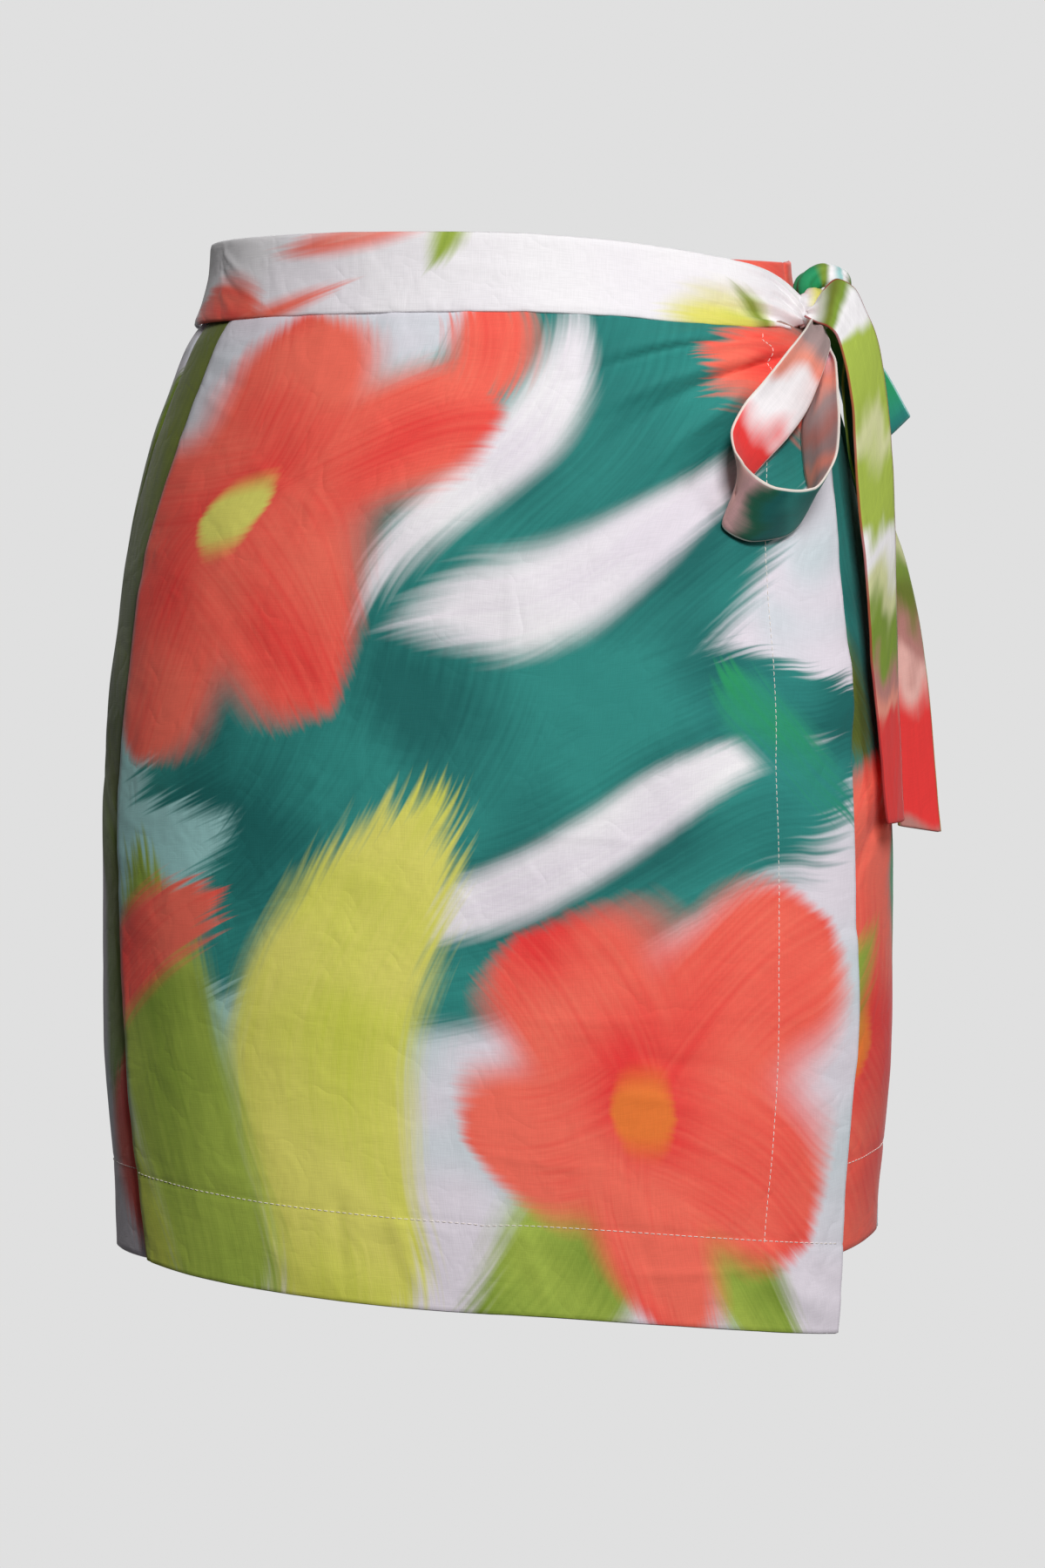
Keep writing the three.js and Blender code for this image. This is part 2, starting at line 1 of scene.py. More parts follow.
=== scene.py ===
import math
import bpy
import numpy as np
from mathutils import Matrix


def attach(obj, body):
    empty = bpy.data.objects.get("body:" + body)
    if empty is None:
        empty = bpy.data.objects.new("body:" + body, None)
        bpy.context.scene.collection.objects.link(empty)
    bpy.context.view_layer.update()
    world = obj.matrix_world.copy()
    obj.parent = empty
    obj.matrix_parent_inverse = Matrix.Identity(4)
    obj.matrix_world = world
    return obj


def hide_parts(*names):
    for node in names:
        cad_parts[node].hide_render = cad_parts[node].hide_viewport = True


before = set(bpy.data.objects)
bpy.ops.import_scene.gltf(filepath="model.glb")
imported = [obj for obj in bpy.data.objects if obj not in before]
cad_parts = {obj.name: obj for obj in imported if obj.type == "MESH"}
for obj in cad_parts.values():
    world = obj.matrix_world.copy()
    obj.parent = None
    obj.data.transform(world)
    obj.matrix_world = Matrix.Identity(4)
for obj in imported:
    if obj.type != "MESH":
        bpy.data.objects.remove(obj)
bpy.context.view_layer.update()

# ---- Studio ----------------------------------
# The skort hangs as if worn, above a plain pale floor in a room of one even tone. A soft box stands
# ahead and high on the wearer's left, a weaker one to that side and two behind.
FLOOR_HEIGHT = -2.0
FLOOR_REACH = 6.0
FLOOR_GREY = 0.25
ROOM_TONE = 0.745
ROOM_LIGHT = 0.035
CAMERA_PLACE = (0.0085, -2.4, -0.24)
SENSOR_WIDTH = 36.0
FOCAL_LENGTH = 123.55
studio = bpy.context.scene
studio.view_settings.view_transform = "Standard"
studio.view_settings.look = "None"


def feed(tree, node, sockets):
    """Sets sockets of a node: an output, or another node's first output, is linked, a constant set."""
    for name, value in sockets.items():
        if isinstance(value, bpy.types.Node):
            value = value.outputs[0]
        if isinstance(value, bpy.types.NodeSocket):
            tree.links.new(value, node.inputs[name])
        else:
            node.inputs[name].default_value = value


def wire(tree, kind, sockets=None, **settings):
    """A new node of that kind in the tree, with its settings and sockets."""
    made = tree.nodes.new(kind)
    for name, value in settings.items():
        setattr(made, name, value)
    feed(tree, made, sockets or {})
    return made


def new_material(name):
    """An empty node material and its tree."""
    made = bpy.data.materials.new(name)
    made.use_nodes = True
    made.node_tree.nodes.clear()
    return made, made.node_tree


def new_object(name, points, faces, material):
    """An object at the origin with a smooth mesh of points in metres."""
    mesh = bpy.data.meshes.new(name)
    mesh.from_pydata(points, [], faces)
    mesh.shade_smooth()
    mesh.materials.append(material)
    made = bpy.data.objects.new(name, mesh)
    studio.collection.objects.link(made)
    return made


def shown_to_camera(tree, real, shown, output):
    """Ends a tree so that the camera sees one shader and all other rays meet the real one."""
    path = wire(tree, "ShaderNodeLightPath").outputs["Is Camera Ray"]
    wire(tree, output, {"Surface": wire(tree, "ShaderNodeMixShader", {0: path, 1: real, 2: shown})})


paper, tree = new_material("floor_paper")
room_tone = (ROOM_TONE,) * 3 + (1,)
shown_to_camera(tree, wire(tree, "ShaderNodeBsdfDiffuse", {"Color": (FLOOR_GREY,) * 3 + (1,)}),
                wire(tree, "ShaderNodeEmission", {"Color": room_tone}), "ShaderNodeOutputMaterial")
floor_corners = [(x * FLOOR_REACH, y * FLOOR_REACH, FLOOR_HEIGHT)
                 for x, y in ((-1, -1), (1, -1), (1, 1), (-1, 1))]
new_object("floor", floor_corners, [(0, 1, 2, 3)], paper)

room = bpy.data.worlds.new("room")
studio.world = room
room.use_nodes = True
air = room.node_tree
air.nodes.clear()
dim = wire(air, "ShaderNodeBackground", {"Color": (1, 1, 1, 1), "Strength": ROOM_LIGHT})
shown_to_camera(air, dim, wire(air, "ShaderNodeBackground", {"Color": room_tone}),
                "ShaderNodeOutputWorld")

# name, place, point it faces, power in watts, width, height
SOFT_BOXES = [
    ("key_box", (0.5, -2.16, 1.05), (0.0, 0.0, -0.22), 53.0, 0.7, 0.7),
    ("side_box", (2.1, -1.2, 0.3), (0.0, 0.0, -0.25), 12.0, 0.7, 1.2),
    ("back_box", (0.5, 2.3, 1.0), (0.0, 0.0, -0.22), 38.0, 1.2, 1.2),
    ("far_side_box", (-1.3, 2.0, 0.3), (0.0, 0.0, -0.25), 9.0, 0.8, 1.2),
]
for box_name, place, faced, power, box_width, box_height in SOFT_BOXES:
    lamp = bpy.data.lights.new(box_name, "AREA")
    lamp.shape = "RECTANGLE"
    lamp.size = box_width
    lamp.size_y = box_height
    lamp.energy = power
    stand = bpy.data.objects.new(box_name, lamp)
    stand.location = place
    stand.visible_camera = False
    aim = np.array(faced) - np.array(place)
    stand.rotation_euler = (math.atan2(math.hypot(aim[0], aim[1]), -aim[2]), 0,
                            math.atan2(-aim[0], aim[1]))
    studio.collection.objects.link(stand)

lens = bpy.data.cameras.new("camera")
lens.sensor_width = SENSOR_WIDTH
lens.lens = FOCAL_LENGTH
camera = bpy.data.objects.new("camera", lens)
camera.location = CAMERA_PLACE
camera.rotation_euler = (math.pi / 2, 0, 0)
studio.collection.objects.link(camera)
studio.camera = camera

# ---- Shorts: four panels ---------------------
# The shorts are four panels of printed cotton, front and back on each side, sewn at the sides, down
# the middle, through the crotch and inside the legs. Each leg ends in a hem turned up and stitched.
# From here on sizes are in millimetres, heights count from the waistband's top, bumps are in metres.
BAND_FOOT = -36.0
SHORTS_HEM = -448.0
CROTCH = -286.0
RISE_START = -212.0
LEG_GAP = 5.0
LEG_FRONT, LEG_BACK = 0.86, 0.93
SHORTS_CLOTH, SHORTS_DOUBLE = 0.8, 1.4
SHORTS_HEM_DEPTH = 38.0
RIM_BULGE = 0.45
SHORTS_GRID = 110, 170
SEAM_GAP = 0.1
COVERED_TO, BARE_FROM = 132, 150
NOISE_CELLS, NOISE_START = 97, 40.0
WEAVE_CELLS = ((2.0, 0.14, 0), (0.14, 2.0, 0))
CRINKLE_SIZE = 22.0
HAND_NOISES = ((180.0, 70.0), (45.0, 3.0))
CLOUD_SIZE = 70.0
WEAVE_DEPTH = 0.00012

# height, half width, depth ahead, depth behind, roundness, sideways shift of the worn form
WORN_FORM = np.array([
    (8, 127.6, 92, 92, 2.0, 0),
    (-12, 128.6, 93, 93.5, 2.0, 0),
    (-25, 131.3, 94.5, 96, 2.0, 0),
    (-36, 135.0, 96.5, 99, 2.0, -0.4),
    (-46, 140.6, 99, 103, 2.0, -0.6),
    (-61, 146.3, 102, 108, 2.03, -0.9),
    (-92, 156.1, 107, 118, 2.08, -1.6),
    (-123, 162.6, 110, 126, 2.15, -2.1),
    (-162, 168.0, 113, 132, 2.2, -2.5),
    (-216, 174.2, 114, 133, 2.3, -2.5),
    (-278, 175.8, 113, 129, 2.4, -2.5),
    (-356, 175.0, 111, 122, 2.45, -2.5),
    (-426, 169.6, 109, 116, 2.5, -2.5),
    (-490, 168.0, 107, 113, 2.5, -2.5),
])


def smooth_column(places, values):
    """A smooth curve through a column of a table that never runs past its rows: cubic pieces whose
    slope at a row is the harmonic mean of the slopes beside it, and zero where they disagree."""
    x, y = np.asarray(places, float), np.asarray(values, float)
    if x[0] > x[-1]:
        x, y = x[::-1], y[::-1]
    step = np.diff(y) / np.diff(x)
    product = step[:-1] * step[1:]
    total = np.where(product > 0, step[:-1] + step[1:], 1.0)
    slope = np.concatenate([step[:1], np.where(product > 0, 2 * product / total, 0), step[-1:]])

    def at(value):
        held = np.clip(value, x[0], x[-1])
        i = np.clip(np.searchsorted(x, held, side="right") - 1, 0, len(x) - 2)
        h = x[i + 1] - x[i]
        t = (held - x[i]) / h
        return (y[i] * (1 + 2 * t) * (1 - t) ** 2 + y[i + 1] * t * t * (3 - 2 * t)
                + h * slope[i] * t * (1 - t) ** 2 - h * slope[i + 1] * t * t * (1 - t))

    return at


def smooth_columns(table):
    """Smooth curves through a table's other columns, over its first one."""
    return [smooth_column(table[:, 0], column) for column in table.T[1:]]


form_half, form_front, form_back, form_power, form_shift = smooth_columns(WORN_FORM)
side_seam_ahead = smooth_column([-36, -92, -162, -260, -450], [14, 11, 5, 2, 1])


def mix(a, b, t):
    """The value a share t of the way from a to b."""
    return a + (b - a) * t


def ease(start, end, value):
    """0 before start, 1 after end, and a smooth S between them."""
    t = np.clip((value - start) / (end - start), 0, 1)
    return t * t * (3 - 2 * t)


def form_point(turn, height):
    """The worn form's section: a rounded ellipse. turn is in degrees, 0 ahead and 90 at the left."""
    power = 2 / form_power(height)
    side, ahead = np.sin(np.radians(turn)), np.cos(np.radians(turn))
    depth = np.where(ahead > 0, form_front(height), form_back(height))
    x = form_shift(height) + form_half(height) * np.sign(side) * np.abs(side) ** power
    return x, -depth * np.sign(ahead) * np.abs(ahead) ** power


def form_depth(x, height, ahead):
    """How deep the form is at a sideways place x, ahead of the middle or behind it."""
    power = form_power(height)
    share = np.minimum(np.abs(x - form_shift(height)) / form_half(height), 1)
    return np.where(ahead, form_front(height), form_back(height)) * (1 - share ** power) ** (1 / power)


def unit(vectors):
    """Vectors made 1 long."""
    return vectors / np.maximum(np.linalg.norm(vectors, axis=-1, keepdims=True), 1e-9)


def facing_out(grid):
    """Unit normals of a grid: the way down its columns crossed with the way along its rows."""
    return unit(np.cross(np.gradient(grid, axis=1), np.gradient(grid, axis=0)))


def lifted(grid, lift):
    """A grid with each point moved along its normal."""
    return grid + facing_out(grid) * lift[..., None]


def bell(value, width):
    """1 where the value is 0, falling to both sides as a bell."""
    return np.exp(-(value / width) ** 2)


def fade(value, reach):
    """1 where the value is 0, dying away to both sides."""
    return np.exp(-np.abs(value) / reach)


def waves(rows):
    """The sum of soft noises, a row each: places across and down, size, seed and height."""
    return sum(soft_noise(across, down, size, seed) * height for across, down, size, seed, height in rows)


def seams(rows):
    """How deep seams draw the cloth in, a row each: distance from the seam, depth and width."""
    return sum(depth * bell(away, width) for away, depth, width in rows)


def even_grid(rows, cols, start=0, end=1):
    """Even steps from start to end along the rows of a grid, and from 0 to 1 down its columns."""
    return np.meshgrid(np.linspace(start, end, rows), np.linspace(0, 1, cols), indexing="ij")


def soft_noise(x, y, size, seed):
    """Smooth random heights from -1 to 1: random values at the corners of squares, eased between."""
    lattice = np.random.default_rng(seed).uniform(-1, 1, (NOISE_CELLS, NOISE_CELLS))
    gx, gy = x / size + NOISE_START, y / size + NOISE_START
    ix, iy = np.floor(gx).astype(int), np.floor(gy).astype(int)
    sx, sy = ease(0, 1, gx - ix), ease(0, 1, gy - iy)
    corner = lambda a, b: lattice[(ix + a) % NOISE_CELLS, (iy + b) % NOISE_CELLS]
    return mix(mix(corner(0, 0), corner(1, 0), sx), mix(corner(0, 1), corner(1, 1), sx), sy)


def creases(x, y, rows):
    """Heights of soft ridges and troughs. Each runs between two places, bows to one side as a
    parabola, fades out towards its end, and falls off to its sides as a bell."""
    total = np.zeros_like(x)
    for x1, y1, x2, y2, bow, lift, width in rows:
        dx, dy = x2 - x1, y2 - y1
        long = math.hypot(dx, dy)
        along = ((x - x1) * dx + (y - y1) * dy) / long ** 2
        aside = ((x - x1) * dy - (y - y1) * dx) / long - 4 * bow * along * (1 - along)
        ends = ease(-0.03, 0.12, along) * (1 - ease(0.55, 1.03, along))
        total += lift * ends * bell(aside, width)
    return total


def flat_places(grid, zero_column):
    """Where each point lies on the flat cloth: length along its row from one column, and length
    down its column, counted downwards as negative."""
    steps = [np.linalg.norm(np.diff(grid, axis=way), axis=2) for way in (0, 1)]
    across = np.pad(np.cumsum(steps[0], axis=0), ((1, 0), (0, 0)))
    down = np.pad(np.cumsum(steps[1], axis=1), ((0, 0), (1, 0)))
    return np.stack([across - across[zero_column], -down], axis=2)


def new_piece(name, points, faces, layers, material, node=None):
    """A piece of the skort from points in millimetres, with UV maps whose values go by point. It takes
    the place of the solid that node names, if any."""
    made = new_object(name, (points / 1000.0).tolist(), faces, material)
    corners = np.empty(len(made.data.loops), int)
    made.data.loops.foreach_get("vertex_index", corners)
    for layer, values in layers.items():
        made.data.uv_layers.new(name=layer).data.foreach_set("uv", values[corners].ravel())
    if node:
        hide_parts(node)
    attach(made, "root")
    return made


def cloth_shell(node, outer, thickness, places, material):
    """A closed thin sheet on a grid: the grid is the outer face, the inner face lies one thickness
    behind it, and a half-round rim joins them. UV map "cloth" holds the flat places in metres and
    "share" runs 0 to 1 both ways; attribute "reverse" is 1 on the inner face."""
    rows, cols = outer.shape[:2]
    thick = np.broadcast_to(thickness, (rows, cols))
    at = np.arange(rows * cols).reshape(rows, cols)
    ring = np.concatenate([at[0, :-1], at[:-1, -1], at[-1, :0:-1], at[:0:-1, 0]])
    inward = np.concatenate([at[1, :-1], at[:-1, -2], at[-2, :0:-1], at[:0:-1, 1]])
    flat_out, flat_in = outer.reshape(-1, 3), lifted(outer, -thick).reshape(-1, 3)
    away = unit(flat_out[ring] - flat_out[inward])
    rim = (flat_out[ring] + flat_in[ring]) / 2 + away * thick.reshape(-1, 1)[ring] * RIM_BULGE
    count, around = rows * cols, len(ring)
    face = np.stack([at[:-1, :-1], at[:-1, 1:], at[1:, 1:], at[1:, :-1]], axis=-1).reshape(-1, 4)
    back = face[:, [0, 3, 2, 1]] + count
    mid = 2 * count + np.arange(around)
    after, mid_after = np.roll(ring, -1), np.roll(mid, -1)
    edge = [np.stack([after, ring, mid, mid_after], axis=1),
            np.stack([mid_after, mid, ring + count, after + count], axis=1)]
    layers = {"cloth": places / 1000.0, "share": np.stack(even_grid(rows, cols), axis=2)}
    for layer, values in layers.items():
        values = values.reshape(-1, 2)
        layers[layer] = np.concatenate([values, values, values[ring]])
    made = new_piece(node + "_cloth", np.concatenate([flat_out, flat_in, rim]),
                     np.concatenate([face, back, *edge]).tolist(), layers, material, node)
    reverse = np.repeat([0.0, 1.0, 0.0], [count, count, around])
    made.data.attributes.new("reverse", "FLOAT", "POINT").data.foreach_set("value", reverse)
    return made


def new_group(name, inputs, outputs):
    """An empty node group with named sockets, the outputs of its entry, and its exit."""
    tree = bpy.data.node_groups.new(name, "ShaderNodeTree")
    for way, sockets in (("INPUT", inputs), ("OUTPUT", outputs)):
        for socket, kind in sockets.items():
            tree.interface.new_socket(socket, in_out=way, socket_type="NodeSocket" + kind)
    return tree, wire(tree, "NodeGroupInput").outputs, wire(tree, "NodeGroupOutput")


def reckon(tree, operation, *values):
    """One sum between nodes, outputs or constants."""
    return wire(tree, "ShaderNodeMath", dict(enumerate(values)), operation=operation)


def reckon_3d(tree, operation, *values):
    """One sum between vectors."""
    return wire(tree, "ShaderNodeVectorMath", dict(enumerate(values)), operation=operation)


def scaled(tree, vector, factor):
    """A vector or colour times a number."""
    return wire(tree, "ShaderNodeVectorMath", {0: vector, "Scale": factor}, operation="SCALE")


def noise_2d(tree, place, scale=1.0, detail=0.0, **sockets):
    """Noise over a flat place, 0 to 1."""
    return wire(tree, "ShaderNodeTexNoise", {"Vector": place, "Scale": scale, "Detail": detail, **sockets},
                noise_dimensions="2D")


def soft_step(tree, value, low, high, to_low=0.0, to_high=1.0):
    """An S-shaped ramp from to_low at low to to_high at high."""
    return wire(tree, "ShaderNodeMapRange", {0: value, 1: low, 2: high, 3: to_low, 4: to_high},
                interpolation_type="SMOOTHSTEP")


def blend_colour(tree, share, under, over):
    """Two colours mixed by a share."""
    return wire(tree, "ShaderNodeMix", {0: share, 6: under, 7: over}, data_type="RGBA").outputs[2]


def make_weave():
    """Plain-woven cotton: warp and weft threads as two noises stretched 14 to 1 across each other."""
    tree, given, result = new_group("cotton_weave", {"Cloth": "Vector"}, {"Height": "Float", "Tone": "Float"})
    runs = [noise_2d(tree, reckon_3d(tree, "MULTIPLY", given["Cloth"], cells)) for cells in WEAVE_CELLS]
    both = reckon(tree, "MULTIPLY", reckon(tree, "ADD", *runs), 0.5)
    feed(tree, result, {"Height": both, "Tone": soft_step(tree, both, 0.3, 0.7, 0.972, 1.02)})
    return tree


def make_crinkle():
    """Light creasing of worn cotton: noise folded about its middle, so it is sharp along crests."""
    tree, given, result = new_group("cotton_crinkle", {"Cloth": "Vector"}, {"Height": "Float"})
    noise = noise_2d(tree, given["Cloth"], 1 / CRINKLE_SIZE, 2.0, Distortion=0.3)
    crest = reckon(tree, "ABSOLUTE", reckon(tree, "SUBTRACT", noise, 0.5))
    feed(tree, result, {"Height": reckon(tree, "MULTIPLY", crest, 2.0)})
    return tree


def make_hand():
    """The unsteady hand of a painted print: places moved about by two noises, each with its size and
    reach in millimetres, and the slow cloudiness of the colours, which follows the moved places."""
    tree, given, result = new_group("painted_hand", {"Cloth": "Vector"},
                                    {"Cloth": "Vector", "Cloud": "Float"})
    moved = given["Cloth"]
    for size, reach in HAND_NOISES:
        noise = noise_2d(tree, given["Cloth"], 1 / size).outputs["Color"]
        around = reckon_3d(tree, "SUBTRACT", noise, (0.5, 0.5, 0.5))
        moved = reckon_3d(tree, "MULTIPLY_ADD", around, (reach, reach, 0), moved)
    feed(tree, result, {"Cloth": moved, "Cloud": noise_2d(tree, moved, 1 / CLOUD_SIZE, 1.0)})
    return tree


def make_leaf():
    """One brushed leaf over what is under it. A Mapping node turns places into shares of its length
    and half width; it reaches its edge where the share aside and a power of the way from its middle
    sum to 1. Noise stretched along it feathers its two ends, and the clouds shade its colour."""
    tree, given, result = new_group("brushed_leaf", dict(
        Under="Color", Cloth="Vector", Cloud="Float", Place="Vector", Turn="Vector", Size="Vector",
        Bow="Float", Blunt="Float", Tip="Float", Grain="Vector", Ragged="Float", Outside="Float",
        Inside="Float", Deep="Color", Light="Color"), {"Colour": "Color"})
    own = wire(tree, "ShaderNodeMapping", {"Vector": given["Cloth"], "Location": given["Place"],
                                           "Rotation": given["Turn"], "Scale": given["Size"]},
               vector_type="TEXTURE")
    along, across, _ = wire(tree, "ShaderNodeSeparateXYZ", {0: own}).outputs
    from_mid = reckon(tree, "SUBTRACT", along, 0.5)
    square = reckon(tree, "MULTIPLY", from_mid, from_mid)
    aside = reckon(tree, "MULTIPLY_ADD", square, given["Bow"], across)
    far = reckon(tree, "ABSOLUTE", aside)
    gap = reckon(tree, "MULTIPLY_ADD", reckon(tree, "POWER", square, given["Blunt"]), given["Tip"], far)
    place = wire(tree, "ShaderNodeCombineXYZ", {0: along, 1: aside})
    noise = noise_2d(tree, reckon_3d(tree, "MULTIPLY_ADD", place, given["Grain"], given["Place"]), 1.0, 1.0)
    ends = reckon(tree, "MULTIPLY_ADD", square, 3.4, 0.15)
    torn = reckon(tree, "MULTIPLY", reckon(tree, "SUBTRACT", noise, 0.5), given["Ragged"])
    torn = reckon(tree, "MULTIPLY_ADD", torn, ends, gap)
    mask = soft_step(tree, torn, given["Outside"], given["Inside"])
    share = -1.0
    for source, weight in ((far, 0.35), (given["Cloud"], 2.4), (noise, 0.6)):
        share = reckon(tree, "MULTIPLY_ADD", source, weight, share)
    colour = blend_colour(tree, share, given["Deep"], given["Light"])
    feed(tree, result, {"Colour": blend_colour(tree, mask, given["Under"], colour)})
    return tree


def tint(red, green, blue):
    """A colour as the eye sees it, 0 to 255, turned into the linear values that materials take."""
    seen = np.array([red, green, blue]) / 255.0
    linear = np.where(seen <= 0.04045, seen / 12.92, ((seen + 0.055) / 1.055) ** 2.4)
    return (*linear.tolist(), 1.0)


cotton_weave, cotton_crinkle = make_weave(), make_crinkle()
painted_hand, brushed_leaf = make_hand(), make_leaf()
TEAL, DEEP_TEAL = tint(44, 138, 130), tint(22, 102, 98)
SEA, EMERALD = tint(158, 206, 204), tint(38, 150, 98)
CORAL, RED = tint(250, 112, 92), tint(238, 58, 56)
LIME, LEAF, OLIVE = tint(168, 188, 76), tint(126, 152, 52), tint(112, 124, 40)
DARK_OLIVE = tint(78, 92, 30)
YELLOW, LEMON, ORANGE = tint(226, 220, 108), tint(208, 212, 82), tint(240, 124, 52)
LILAC, WHITE = tint(230, 222, 231), tint(244, 241, 243)


def cloth_finish(tree, colour, cloth, crinkle_depth=0.0007, paling=0.5):
    """The cotton's own finish over any print: thread tone, a paler reverse, weave and creasing."""
    weave = wire(tree, "ShaderNodeGroup", {"Cloth": cloth}, node_tree=cotton_weave)
    crinkle = wire(tree, "ShaderNodeGroup", {"Cloth": cloth}, node_tree=cotton_crinkle)
    tone = scaled(tree, colour, weave.outputs["Tone"])
    if paling:
        reverse = wire(tree, "ShaderNodeAttribute", attribute_name="reverse").outputs["Fac"]
        tone = blend_colour(tree, reckon(tree, "MULTIPLY", reverse, paling), tone, tint(222, 212, 214))
    creased = wire(tree, "ShaderNodeBump", {"Strength": 0.75, "Distance": crinkle_depth, "Height": crinkle})
    woven = wire(tree, "ShaderNodeBump", {"Strength": 0.5, "Distance": WEAVE_DEPTH, "Height": weave,
                                          "Normal": creased})
    surface = wire(tree, "ShaderNodeBsdfPrincipled", {
        "Base Color": tone, "Roughness": 0.78, "Specular IOR Level": 0.25, "Sheen Weight": 0.12,
        "Sheen Roughness": 0.45, "Normal": woven})
    wire(tree, "ShaderNodeOutputMaterial", {"Surface": surface})


def flat_cloth(tree):
    """Places on the flat cloth in millimetres."""
    return scaled(tree, wire(tree, "ShaderNodeUVMap", uv_map="cloth"), 1000.0)


def printed_cotton(name, motifs, ground=LILAC, wash=SEA, wash_share=0.45):
    """Cotton with a painted print: a washed ground and then each leaf of a table, in order. A row is
    the place of its base, its turn, length, half width, bow, bluntness, softness, raggedness and two
    colours."""
    made, tree = new_material(name)
    cloth = flat_cloth(tree)
    hand = wire(tree, "ShaderNodeGroup", {"Cloth": cloth}, node_tree=painted_hand)
    cloud = hand.outputs["Cloud"]
    colour = blend_colour(tree, soft_step(tree, cloud, 0.42, 0.75, 0.0, wash_share), ground, wash)
    for x, y, turn, long, wide, bow, blunt, soft, ragged, deep, light in motifs:
        colour = wire(tree, "ShaderNodeGroup", {
            "Under": colour, "Cloth": hand, "Cloud": cloud, "Place": (x, y, 0),
            "Turn": (0, 0, math.radians(turn)), "Size": (long, wide, 1), "Bow": 4 * bow / wide,
            "Blunt": blunt, "Tip": 4 ** blunt, "Grain": (long / 60, wide / 2.2, 0),
            "Ragged": ragged / wide, "Outside": 1 + soft / wide, "Inside": 1 - soft / wide,
            "Deep": deep, "Light": light}, node_tree=brushed_leaf)
    cloth_finish(tree, colour, cloth)
    return made


def blossom(x, y, turn, reach, heart, petals=5):
    """Rows of an open coral blossom: broad blunt petals about a place, and a small heart."""
    rows = [(x, y, turn + 360 * k / petals, reach * (0.94 + 0.1 * (k % 2)), reach * 0.35, 5 - 10 * (k % 2),
             2.0, 0.12 * reach, 0.15 * reach, RED, CORAL) for k in range(petals)]
    return rows + [(x - 0.15 * reach, y, 0, 0.3 * reach, 0.14 * reach, 0, 2.0, 0.07 * reach, 0.1 * reach,
                    heart, heart)]


def shorts_point(side, front, share, height):
    """A panel's point. Sideways places go round like a leg tube, from the side seam (share 0) to the
    middle (share 1); depth is the form's above the rise and the leg tube's below the crotch."""
    legness = ease(RISE_START, CROTCH - 6, height)
    gap = ease(CROTCH, SHORTS_HEM, height) * LEG_GAP
    outer = side * form_point(side * 90.0, height)[0]
    leg_half = (outer - gap) / 2
    seam = side * form_point(side * (90 - side_seam_ahead(height)), height)[0]
    start = np.arccos(np.minimum((seam - gap) / leg_half - 1, 1))
    around = mix(start if front else -start, math.pi, share)
    x = side * (gap + leg_half * (1 + np.cos(around)))
    ahead = (around < 0) | front
    leg = np.where(ahead, form_front(height) * LEG_FRONT, form_back(height) * LEG_BACK)
    depth = mix(form_depth(x, height, ahead), leg * np.abs(np.sin(around)), legness)
    return np.stack([x, np.where(ahead, -depth, depth), height], axis=-1)


def shorts_panel(side, front, hem_rise, folds, seed):
    """One panel as a grid, with its folds, its seams drawn in and its hem doubled. No ridge stands
    up where the wrap covers it."""
    u, v = even_grid(*SHORTS_GRID)
    from_middle = (side > 0) == front
    share = 1 - u if from_middle else u
    height = mix(BAND_FOOT + 1.5, SHORTS_HEM + hem_rise * (1 - ease(0, 0.4, share)), v)
    base = shorts_point(side, front, share, height)
    base[..., 1] += (-SEAM_GAP if front else SEAM_GAP) * (1 - share)
    base[..., 0] += side * SEAM_GAP
    places = flat_places(base, 0 if from_middle else -1)
    x, y = places[..., 0], places[..., 1]
    from_hem = y - places[:, -1:, 1]
    stitch = from_hem - SHORTS_HEM_DEPTH
    to_side, to_middle = np.abs(x - places[(-1 if from_middle else 0), :, 0]), np.abs(x)
    lift = creases(x, y, folds) - 1.3 * ease(-4, 0, y) + waves([
        (x, y, 62, seed, mix(0.5, 1.5, ease(-180, -430, y))),
        (x, y, 21, seed + 1, 0.22),
        (y, to_side * 0.2, 13, seed + 2, 0.3 * fade(to_side, 9)),
        (y, to_middle * 0.2, 15, seed + 2, 0.3 * fade(to_middle, 9)),
        (x, stitch * 0.3, 12, seed + 3, 0.35 * fade(stitch, 10))])
    lift = lift - seams([(to_side, 1.1, 2.2), (to_middle, 1.1, 2.2), (stitch, 0.35, 1.4)])
    if front:
        covered = 1 - ease(COVERED_TO, BARE_FROM, np.abs(base[..., 0]))
        lift = np.where(lift > 0, lift * (1 - covered), lift) - 0.3 * covered
    hemmed = ease(SHORTS_HEM_DEPTH + 1, SHORTS_HEM_DEPTH - 1, from_hem)
    return lifted(base, lift), mix(SHORTS_CLOTH, SHORTS_DOUBLE, hemmed), places


